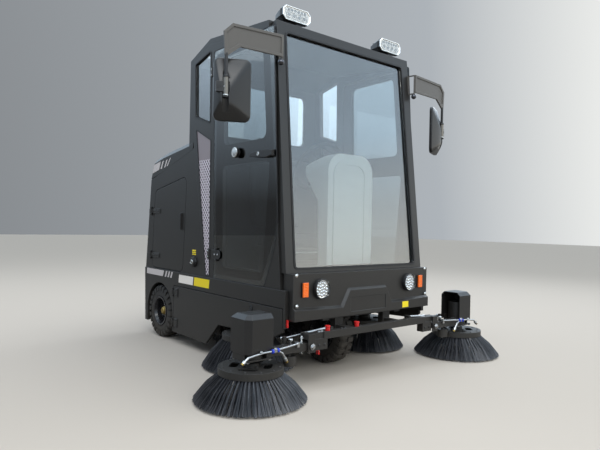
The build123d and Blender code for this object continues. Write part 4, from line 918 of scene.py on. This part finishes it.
for side, sign in sides:
    face = sign * lockLook["face"]
    out = (sign, 0, 0)
    y, z = lockLook["place"]
    shape = Shape()
    for profile, key, steps in lockLook["turned"]:
        shape.lathe(profile, spot(face, y, z), out, key, steps)
    for c, s in around(6):
        lugY, lugZ = y + lockLook["lugs"] * c, z + lockLook["lugs"] * s
        shape.box(spot(face + sign * 10, lugY - 4, lugZ - 4), spot(face + sign * 16, lugY + 4, lugZ + 4),
                  "trim")
    near, far = lockLook["tag"]
    for low, high in lockLook["tagRows"]:
        shape.flank(face + sign * 0.3, ((near, low), (far, low), (far, high), (near, high)), -sign * 0.6,
                    "yellowTape")
    shape.close(f"fillerLock_{side}", "sweeper", "body", bevel=0.0008)
    shape = Shape()
    y, z = skirtLook["key"]
    shape.lathe(skirtLook["catch"], spot(sign * 581, y, z), out, "seal", 24)
    shape.box(spot(sign * 583.5, y - 9, z - 2), spot(sign * 584.6, y + 9, z + 2), "trim")
    for hingeZ in skirtLook["hinges"]:
        for shift in (-18, 18):
            shape.dome(spot(sign * 587, skirtLook["screwY"], hingeZ + shift), out, 5.5, "trim")
    shape.close(f"skirtCatch_{side}", f"skirt_door_{side}", "body")
    shape = Shape()
    for hingeZ in serviceLook["hinges"]:
        for screwY in serviceLook["screws"]:
            shape.dome(spot(sign * 580, screwY, hingeZ), out, 5.5, "trim")
    shape.flank(sign * 586.2, serviceLook["grip"], sign * 2, "trim")
    shape.close(f"serviceScrews_{side}", f"service_door_{side}", "body", bevel=0.001)
print("rear body dressed")

# Mirror heads: a shell that swells beside the tube, with a channel for it, and silvered glass in a lip
mirrorLook = {"place": (847, 190), "turn": 25, "half": 96.5, "low": 1374, "high": 1699, "corner": 34,
              "bulge": 44, "summit": (20, 64, 1462, 1532), "tube": (899.7, 168.9), "bulgeRings": 14,
              "bulgePower": 1.45, "rims": ((0.93, 14), (0.985, 14), (1, 12), (1, 1), (0.994, -1.5)),
              "seat": ((18.8, -30), (98.8, -30), (98.8, -90), (18.8, -90)),
              "block": ((38.8, -49.4), (88.8, -49.4), (88.8, -30), (38.8, -30))}
# Mirror arms: a plate with a raised border, swept back from an open bracket on the pillar;
# bars: the bracket's, each with its near and far depth and its low and high edge
armLook = {"root": (560, 138.5), "sweep": 4.1, "bracketTurn": 10.3,
           "outline": ((0, 1875), (310, 1868), (358, 1820), (350, 1702), (330, 1702), (262, 1756), (0, 1756)),
           "pocket": ((14, 1860), (304, 1853), (342, 1814), (338, 1735), (324, 1731), (270, 1771), (14, 1772)),
           "bars": ((0, 8, 1745, 1875), (8, 44, 1867, 1875), (8, 44, 1745, 1753), (44, 62, 1745, 1875)),
           "rods": ((9, 1486, 1712, 24), (13, 1486, 1598, 28))}
# Fittings on the tube: a collar, a sleeve, a plated ring and a dark nut, each with its foot's height
clampLook = {"fittings": ((((13, -2), (14.2, 0), (14.2, 9), (12.8, 11)), 1588, "trim", 24),
                          (((12.8, 0), (13.4, 0.6), (13.4, 86), (12.8, 86.6)), 1501, "bronze", 28),
                          (((12.8, 0), (14.6, 1), (14.6, 6), (12.8, 7)), 1494, "chrome", 28),
                          (((12, 0), (15.2, 1), (15.2, 9), (12, 9.5)), 1484.5, "seal", 6)),
             "hole": ((8.8, -1), (8.8, 0.8), (7.4, 1.2), (6.6, -0.2), (0, -0.2)),
             "ballRadius": 17.3, "ball": (564.1, 155.4, 1731)}


def mirror(side, sign):
    turn, sweep, lean = (math.radians(angle) for angle in (mirrorLook["turn"] * sign, armLook["sweep"],
                                                           armLook["bracketTurn"]))
    rootX, rootY = armLook["root"]
    tubeX, tubeY = mirrorLook["tube"]

    def onMirror(point, height):
        # x out from the vehicle's middle across the head, height behind its middle plane
        across = point.x * sign
        return spot(sign * mirrorLook["place"][0] + across * math.cos(turn) - height * math.sin(turn),
                    mirrorLook["place"][1] + across * math.sin(turn) + height * math.cos(turn), point.y)

    def onArm(u, depth, z):
        return spot(sign * (rootX + u * math.cos(sweep) - depth * math.sin(sweep)),
                    rootY + u * math.sin(sweep) + depth * math.cos(sweep), z)

    def onBracket(across, depth, z):
        return spot(sign * (rootX - across * math.cos(lean) - depth * math.sin(lean)),
                    rootY + 6 - across * math.sin(lean) + depth * math.cos(lean), z)

    half, low, high = mirrorLook["half"], mirrorLook["low"], mirrorLook["high"]
    outer = roundBox(-half, half, low, high, mirrorLook["corner"], 11)
    inner = roundBox(*mirrorLook["summit"], 14, 11)
    middle = Vector((0, (low + high) / 2))
    rings = [[onMirror(middle + (p - middle) * shrink, depth) for p in outer]
             for shrink, depth in mirrorLook["rims"]]
    for n in range(1, mirrorLook["bulgeRings"] + 1):
        t = n / mirrorLook["bulgeRings"]
        depth = min(-1.5, -mirrorLook["bulge"] * (1 - (1 - t) ** mirrorLook["bulgePower"]))
        rings.append([onMirror(p.lerp(q, t), depth) for p, q in zip(outer, inner)])
    shape = Shape()
    shape.loft(rings, "mirrorShell")
    shell = shape.plain(f"mirrorShell_{side}", 50)
    channel = Shape()
    channel.lathe([(16, 0), (16, 248)], spot(sign * tubeX, tubeY, 1412), up, "mirrorShell", 28)
    seat = Shape()
    seat.plate([onMirror(Vector((x, 1511)), depth) for x, depth in mirrorLook["seat"]], (0, 0, 0.056),
               "mirrorShell")
    cutBy(shell, [channel.plain("channel"), seat.plain("seat")], 60)
    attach(shell, "sweeper")
    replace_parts(shell, "mirror_heads")

    shape = Shape()
    strip(shape, roundBox(5 - half, half - 5, low + 5, high - 5, 30), onMirror, (-5, 4.6), (13.6, 17.5),
          "mirrorShell")
    silver = roundBox(11 - half, half - 11, low + 11, high - 11, 24)
    shape.plate([onMirror(point, 14.3) for point in silver],
                onMirror(Vector((0, 0)), 1.5) - onMirror(Vector((0, 0)), 0), "mirror")
    shape.close(f"mirrorGlass_{side}", "sweeper", "body", smooth=50)

    shape = Shape()
    shape.loft([[onArm(u, depth, z) for u, z in armLook[outline]] for outline, depth in (
        ("outline", 12), ("outline", 0), ("pocket", 0), ("pocket", 6))], "cast")
    for near, far, lowZ, highZ in armLook["bars"]:
        section = ((near, lowZ), (far, lowZ), (far, highZ), (near, highZ))
        shape.loft([[onBracket(across, depth, z) for depth, z in section] for across in (-4, 4)], "cast")
    for radius, foot, top, steps in armLook["rods"]:
        shape.lathe([(radius, foot), (radius, top)], spot(sign * tubeX, tubeY, 0), up, "cover", steps)
    shape.plate([onMirror(Vector((x, 1512)), depth) for x, depth in mirrorLook["block"]], (0, 0, 0.054),
                "cover")
    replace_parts(shape.close(f"mirrorArm_{side}", "sweeper", "body", bevel=0.0014), "mirror_arms")

    shape = Shape()
    for profile, z, key, steps in clampLook["fittings"]:
        shape.lathe(profile, spot(sign * tubeX, tubeY, z), up, key, steps)
    outward = onMirror(Vector((0, 0)), -1) - onMirror(Vector((0, 0)), 0)
    shape.lathe(clampLook["hole"], onMirror(Vector((74, 1539)), -49.4), outward, "seal", 24)
    shape.dome(onMirror(Vector((46, 1539)), -49.4), outward, 4.2, "steel")
    r = clampLook["ballRadius"]
    x, y, z = clampLook["ball"]
    ball = [(r * math.sin(math.pi * k / 16), -r * math.cos(math.pi * k / 16)) for k in range(1, 16)]
    shape.lathe([(0, -r), *ball, (0, r)], spot(sign * x, y, z), up, "ball", 28)
    shape.close(f"mirrorClamp_{side}", "sweeper", "body")


for side, sign in sides:
    mirror(side, sign)
print("mirrors built")

# Beam and arms: hinge pin heads, adjusting bolts, washers and nuts; rows: x, y, z, direction, radius, finish
beamLook = {"beam": ((515, -100, 226, forward, 12, "steel"), (515, -20, 226, (0, 1, 0), 12, "steel"),
                     *((x, -60, 289.2, up, 6.5, "chassis") for x in (130, 160, 250, 275)),
                     *((x, -60, 289.2, up, 6.5, "steel") for x in (420, 440)),
                     *((x, -85.2, 226, forward, 6, "chassis") for x in (420, 460))),
            "arm": ((558, -60, 246.2, up, 8.5, "chrome"), (558, -60, 270, up, 7.5, "chrome"),
                    (558, -60, 205.8, down, 8.5, "chrome"), (558, -60, 196, down, 7.5, "chrome"),
                    (680, -60, 246.2, up, 8, "chassis"), (740, -60, 246.2, up, 8, "chassis"),
                    (636, -60, 141.8, down, 9, "steel"),
                    *((x, y, 198, down, 6.5, "steel") for x in (777, 903) for y in (-84, 36))),
            "adjuster": ((4.2, -52), (4.2, 34), (3, 36)),
            "knob": ((4, 0), (4, 16), (11.5, 17), (11.5, 24), (8, 28), (0, 29))}


def boltRow(shape, sign, rows):
    for x, y, z, axis, radius, key in rows:
        shape.bolt(spot(sign * x, y, z), axis, radius, key)


for side, sign in sides:
    shape = Shape()
    boltRow(shape, sign, beamLook["beam"])
    shape.close(f"beamBolts_{side}", "sweeper", "chassis")
    shape = Shape()
    shape.lathe(beamLook["adjuster"], spot(sign * 558, -60, 246), up, "chrome", 14)
    shape.lathe(beamLook["knob"], spot(sign * 622, -52, 246), up, "chrome", 20)
    boltRow(shape, sign, beamLook["arm"])
    shape.close(f"armBolts_{side}", f"brush_arm_{side}", "chassis")

# Red fittings on the right half of the beam: two collars, a strip and the bolt beside it
collarLook = {"x": (-378, -158), "profile": ((13.5, 0), (15.5, 1), (15.5, 5), (13.5, 6))}
shape = Shape()
for x in collarLook["x"]:
    shape.lathe(collarLook["profile"], spot(x, -60, 310), up, "red", 24)
shape.bolt(spot(-440.8, -60, 186), (1, 0, 0), 7)
shape.box(spot(-572, 46, 306), spot(-560, 54, 346), "red")
shape.close("redCollars", "sweeper", "red")
print("beam and arms bolted")

# Spray lines: blue unions at the junction, plated nuts and brass-tipped nozzles
sprayLook = {"unions": ((780, 241), (748, 243)), "union": ((8.5, -6), (10.5, -5), (10.5, 5), (8.5, 6)),
             "nuts": ((764, 250.2), (846, 244)), "tipFrom": 0.62,
             "nozzles": (((936, -110, 213), (953, -110, 200)), ((704, -111, 199), (690, -110, 176)))}
for side, sign in sides:
    shape = Shape()
    for x, z in sprayLook["unions"]:
        shape.lathe(sprayLook["union"], spot(sign * x, -112, z), (1, 0, 0), "blue", 18)
    for x, z in sprayLook["nuts"]:
        shape.bolt(spot(sign * x, -112, z), up, 7.5)
    for ends in sprayLook["nozzles"]:
        a, b = (spot(sign * x, y, z) for x, y, z in ends)
        tip = a + (b - a) * sprayLook["tipFrom"]
        shape.tube([a, tip], 9.2, "chrome", 16)
        shape.tube([tip, b], 7.8, "brass", 16)
    shape.close(f"sprayFittings_{side}", f"brush_arm_{side}", "steel")
print("spray fittings set")

# Brush discs: clamp screws near the edge and four bolts round the hub
discLook = {"screws": 12, "circle": 140, "bolts": 4, "boltCircle": 52, "tops": (("front", 165), ("mid", 198))}
for side, sign in sides:
    for which, top in discLook["tops"]:
        low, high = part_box(f"{which}_disc_{side}")
        centre = Vector(((low.x + high.x) / 2, (low.y + high.y) / 2, top / 1000))
        shape = Shape()
        for c, s in around(discLook["screws"], math.pi / discLook["screws"]):
            shape.dome(centre + Vector((c, s, 0)) * discLook["circle"] / 1000, up, 5.5, "disc")
        for c, s in around(discLook["bolts"]):
            shape.bolt(centre + Vector((c, s, 0)) * discLook["boltCircle"] / 1000, up, 6, "trim")
        shape.close(f"{which}DiscScrews_{side}", f"{which}_brush_{side}", "disc")
print("brush discs screwed")

# Seat: cushion, back and headrest swelled as cloth, piping along their edges, on a moulded base;
# pads: name, half width and outline (y, z) seen from the side
seatLook = {"voxel": 0.007, "pressure": 4.0, "steps": 20, "cap": 0.012,
            "pads": (("seatCushion", 221,
                      ((534, 704), (880, 704), (886, 775), (800, 772), (640, 768), (570, 782), (534, 762))),
                     ("seatBack", 211, ((894, 812), (936, 812), (974, 1060), (1010, 1310), (978, 1316),
                                        (940, 1090), (900, 960))),
                     ("headPad", 108, ((988, 1336), (1018, 1336), (1036, 1474), (1008, 1476)))),
            "piping": ((150, ((540, 788), (640, 783), (760, 786), (872, 789))),
                       (140, ((908, 850), (924, 960), (949, 1100), (978, 1300)))),
            "base": (((-190, 640, 452), (190, 880, 470)), ((-176, 652, 470), (176, 868, 640)),
                     ((-190, 636, 640), (190, 884, 664))),
            "pan": ((-214, 566, 664), (214, 896, 700)), "ribs": range(486, 630, 18), "rails": (-198, 190),
            "lever": ((-150, 560, 676), (-150, 520, 668), (150, 520, 668), (150, 560, 676))}


def swell(piece):
    fit = piece.modifiers.new("even", "REMESH")
    fit.mode = "VOXEL"
    fit.voxel_size = seatLook["voxel"]
    takeShape(piece)
    start = [v.co.copy() for v in piece.data.vertices]
    cloth = piece.modifiers.new("cloth", "CLOTH")
    cloth.settings.use_pressure = True
    cloth.settings.uniform_pressure_force = seatLook["pressure"]
    cloth.settings.effector_weights.gravity = 0
    for step in range(1, seatLook["steps"] + 1):
        bpy.context.scene.frame_set(step)
    takeShape(piece)
    bpy.context.scene.frame_set(1)
    for vertex, before in zip(piece.data.vertices, start):
        shift = vertex.co - before
        if shift.length > seatLook["cap"]:
            vertex.co = before + shift.normalized() * seatLook["cap"]
    smoother = piece.modifiers.new("even", "SMOOTH")
    smoother.iterations = 3
    finer = piece.modifiers.new("finer", "SUBSURF")
    finer.levels = finer.render_levels = 1
    takeShape(piece)
    for polygon in piece.data.polygons:
        polygon.use_smooth = True


for name, half, outline in seatLook["pads"]:
    outline = [Vector(corner) for corner in outline]
    middle = sum(outline, Vector((0, 0))) / len(outline)
    shape = Shape()
    shape.loft([[spot(x, *(middle + (p - middle) * shrink)) for p in outline] for x, shrink in (
        (-half, 0.8), (-half + 14, 0.95), (-half * 0.4, 1),
        (half * 0.4, 1), (half - 14, 0.95), (half, 0.8))], "vinyl")
    piece = shape.plain(name, 60)
    swell(piece)
    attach(piece, "sweeper")
    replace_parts(piece, "driver_seat")
shape = Shape()
for half, outline in seatLook["piping"]:
    for x in (-half, half):
        shape.tube([spot(x, y, z) for y, z in outline], 3.2, "vinyl", 8)
for low, high in seatLook["base"]:
    shape.box(spot(*low), spot(*high), "trim")
for z in seatLook["ribs"]:
    for y in (646, 868):
        shape.box(spot(-176, y, z), spot(176, y + 6, z + 11), "seal")
for x in seatLook["rails"]:
    shape.box(spot(x, 600, 668), spot(x + 8, 900, 692), "steel")
shape.box(*(spot(*corner) for corner in seatLook["pan"]), "trim")
shape.tube([spot(*point) for point in seatLook["lever"]], 6, "steel")
for x in (-60, 60):
    shape.tube([spot(x, 985, 1296), spot(x, 992, 1350)], 6, "steel")
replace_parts(shape.close("seatBase", "sweeper", "seat", bevel=0.003), "driver_seat")
print("seat padded")

# Pedal rubbers and floor mat
matLook = {"pedalX": 240, "pedalRibs": 6, "first": (292, 489), "step": (9.6, 10.4),
           "ribs": range(-252, 294, 42)}
shape = Shape()
for side, sign in sides:
    for i in range(matLook["pedalRibs"]):
        x = sign * matLook["pedalX"]
        y, z = (first + i * step for first, step in zip(matLook["first"], matLook["step"]))
        shape.box(spot(x - 26, y - 1, z + 5), spot(x + 26, y + 4, z + 9), "rubber")
for x in matLook["ribs"]:
    shape.box(spot(x - 9, 300, 452), spot(x + 9, 630, 454.5), "rubber")
shape.box(spot(-300, 290, 451.8), spot(300, 640, 452.8), "rubber")
shape.close("matAndPedalRubbers", "sweeper", "interior", bevel=0.0008)

# The cowl's display, its two rows of switches and the stalk; panels: low and high x, y and z on its slope
cowlLook = {"place": (0, 312, 1252), "slope": -25.5, "display": (-86, 86, -40, 40, -3, 5),
            "screen": (-74, 74, -30, 30, 4, 6.2), "switchX": (-140, 118),
            "stalk": ((36, 404, 1178), (96, 420, 1196), (150, 428, 1216))}
slope = tilted(*cowlLook["place"], cowlLook["slope"])
shape = Shape()


def cowlPanel(x0, x1, y0, y1, z0, z1, key):
    # its upper face is 2 mm smaller all round than its lower one
    shape.loft([[slope @ (Vector((x, y, z)) / 1000) for x, y in (
        (x0 + inset, y0 + inset), (x1 - inset, y0 + inset), (x1 - inset, y1 - inset), (x0 + inset, y1 - inset))]
        for inset, z in ((0, z0), (2, z1))], key)


cowlPanel(*cowlLook["display"], "trim")
cowlPanel(*cowlLook["screen"], "screenFace")
for i in range(4):
    for x in cowlLook["switchX"]:
        cowlPanel(x, x + 22, -36 + i * 20, -22 + i * 20, -3, 5, "trim")
shape.tube([spot(*point) for point in cowlLook["stalk"]], 5.5, "trim", endRadius=8)
shape.close("cowlDisplay", "sweeper", "console")
print("driver's place fitted out")

# Steering wheel: gripped rim, three spokes, hub cap and the end of its column
steerLook = {"place": (0, 478, 1236), "slope": -55, "radius": 165, "grip": 13, "dent": 0.10,
             "spokes": (90, 210, 330), "root": ((-18, -12), (18, -12), (18, -4), (-18, -4)),
             "tip": ((-13, -4), (13, -4), (13, 4), (-13, 4)),
             "cap": ((34, -31), (36, -12), (34, -1), (28, 5), (15, 7.5), (0, 8))}
wheelPlace = tilted(*steerLook["place"], steerLook["slope"])
shape = Shape()
rings = []
for i, (c, s) in enumerate(around(56)):
    rings.append([])
    for b, rise in around(12):
        grip = steerLook["grip"] * (1 - (steerLook["dent"] if i % 2 else 0) * max(0, -b))
        r = steerLook["radius"] + grip * b
        rings[-1].append(wheelPlace @ (Vector((r * c, r * s, grip * rise)) / 1000))
shape.loft(rings, "grip", closed=True)
for angle in steerLook["spokes"]:
    a = math.radians(angle)
    along = Vector((math.cos(a), math.sin(a), 0))
    over = Vector((-math.sin(a), math.cos(a), 0))
    shape.loft([[wheelPlace @ ((along * reach + over * w + Vector((0, 0, z))) / 1000)
                 for w, z in steerLook[end]] for end, reach in (("root", 26), ("tip", 158))], "trim")
axis = wheelPlace.to_3x3() @ Vector(up)
shape.lathe(steerLook["cap"], wheelPlace.translation, axis, "trim", 32)
shape.lathe([(16, -100), (16, -30)], wheelPlace.translation, axis, "steel")
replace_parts(shape.close("steeringWheelRim", "sweeper", "trim", smooth=50), "steering_wheel")
print("steering wheel built")

# Tail lamps: ribbed lens in three fields, laid over the lamp's rear face
tailLook = {"x": 489, "fields": ((303, 340, "redLens"), (342, 378, "amber"), (380, 417, "redLens")),
            "ribs": 5, "first": -35, "pitch": 14.2, "ribWide": 12.2, "screws": (308, 412)}
back = (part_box("tail_lamps")[1].y - panelY) * 1000
for side, sign in sides:
    shape = Shape()
    middle = sign * tailLook["x"]
    for low, high, key in tailLook["fields"]:
        for k in range(tailLook["ribs"]):
            x = middle + tailLook["first"] + k * tailLook["pitch"]
            shape.box(spot(x, back - 3.5, low), spot(x + tailLook["ribWide"], back + 0.8, high), key)
    for z in tailLook["screws"]:
        shape.dome(spot(middle, back, z), (0, 1, 0), 4, "steel")
    shape.close(f"tailLens_{side}", "sweeper", "lamp_red", bevel=0.0008)
print("tail lamps dressed")

# Studio floor: pale, and darker where shiny surfaces mirror it
floorLook = {"half": 30, "height": -0.0005, "seen": (0.56, 0.535, 0.50), "mirrored": (0.26, 0.25, 0.235)}
floorData = bpy.data.meshes.new("studioFloor")
floorData.from_pydata([(x * floorLook["half"], y * floorLook["half"], floorLook["height"])
                       for x, y in ((-1, -1), (1, -1), (1, 1), (-1, 1))], [], [(0, 1, 2, 3)])
floorPiece = addObject("studioFloor", floorData)
floorPaint = newMaterial("paleFloor", Roughness=0.9)
ray = addNode(floorPaint.node_tree, "LightPath").outputs["Is Glossy Ray"]
shade = colourRamp(floorPaint.node_tree, ray, floorLook["seen"], floorLook["mirrored"])
floorData.materials.append(feed(floorPaint, {"Color": shade.outputs["Color"]}))

# Large soft lights: name, place, size, power, colour; the one behind is kept out of the side glass
lightLook = {"target": (0, 0, 0.9), "unmirrored": "back", "lamps": (
    ("key", (-2.8, -4.0, 5.0), (4.0, 2.6), 125, (1.0, 0.97, 0.93)),
    ("fill", (5.2, 0.6, 4.6), (3.4, 2.6), 90, (0.95, 0.97, 1.0)),
    ("back", (-3.4, 4.6, 4.8), (3.4, 2.6), 80, (0.97, 0.98, 1.0)),
    ("top", (0.2, -0.4, 6.0), (4.0, 4.0), 90, (0.96, 0.98, 1.0)))}
for name, place, size, power, colour in lightLook["lamps"]:
    data = bpy.data.lights.new(name, "AREA")
    data.shape = "RECTANGLE"
    data.size, data.size_y = size
    data.energy = power
    data.color = colour
    lamp = addObject(name, data)
    lamp.visible_glossy = name != lightLook["unmirrored"]
    lamp.location = place
    lamp.rotation_mode = "QUATERNION"
    lamp.rotation_quaternion = (Vector(lightLook["target"]) - Vector(place)).to_track_quat("-Z", "Y")

# Surround: plain, brighter ahead than beside, and for what shiny surfaces mirror a clear blue above
surroundLook = {"bright": (0.66, -0.74, 0.10), "strength": 0.8, "beside": (0.20, 0.21, 0.22),
                "ahead": (2.3, 2.25, 2.08), "middleAt": 0.55, "middle": (0.52, 0.56, 0.60),
                "sky": (1.30, 1.60, 1.90), "skyFrom": (0.04, 0.30)}
world = bpy.data.worlds.new("studioWorld")
bpy.context.scene.world = world
world.use_nodes = True
tree = world.node_tree
background = tree.nodes["Background"]
background.inputs["Strength"].default_value = surroundLook["strength"]
place = addNode(tree, "TexCoord").outputs["Generated"]
lean = combine(tree, "DOT_PRODUCT", place, surroundLook["bright"])
ramp = colourRamp(tree, remap(tree, lean, -1.0, 1.0), surroundLook["beside"], surroundLook["ahead"])
ramp.color_ramp.elements.new(surroundLook["middleAt"]).color = (*surroundLook["middle"], 1)
height = remap(tree, heightOf(tree, place), *surroundLook["skyFrom"])
mirrored = mixColours(tree, height, ramp.outputs["Color"], (*surroundLook["sky"], 1))
ray = addNode(tree, "LightPath").outputs["Is Glossy Ray"]
tree.links.new(mixColours(tree, ray, ramp.outputs["Color"], mirrored), background.inputs["Color"])
print("studio lit")
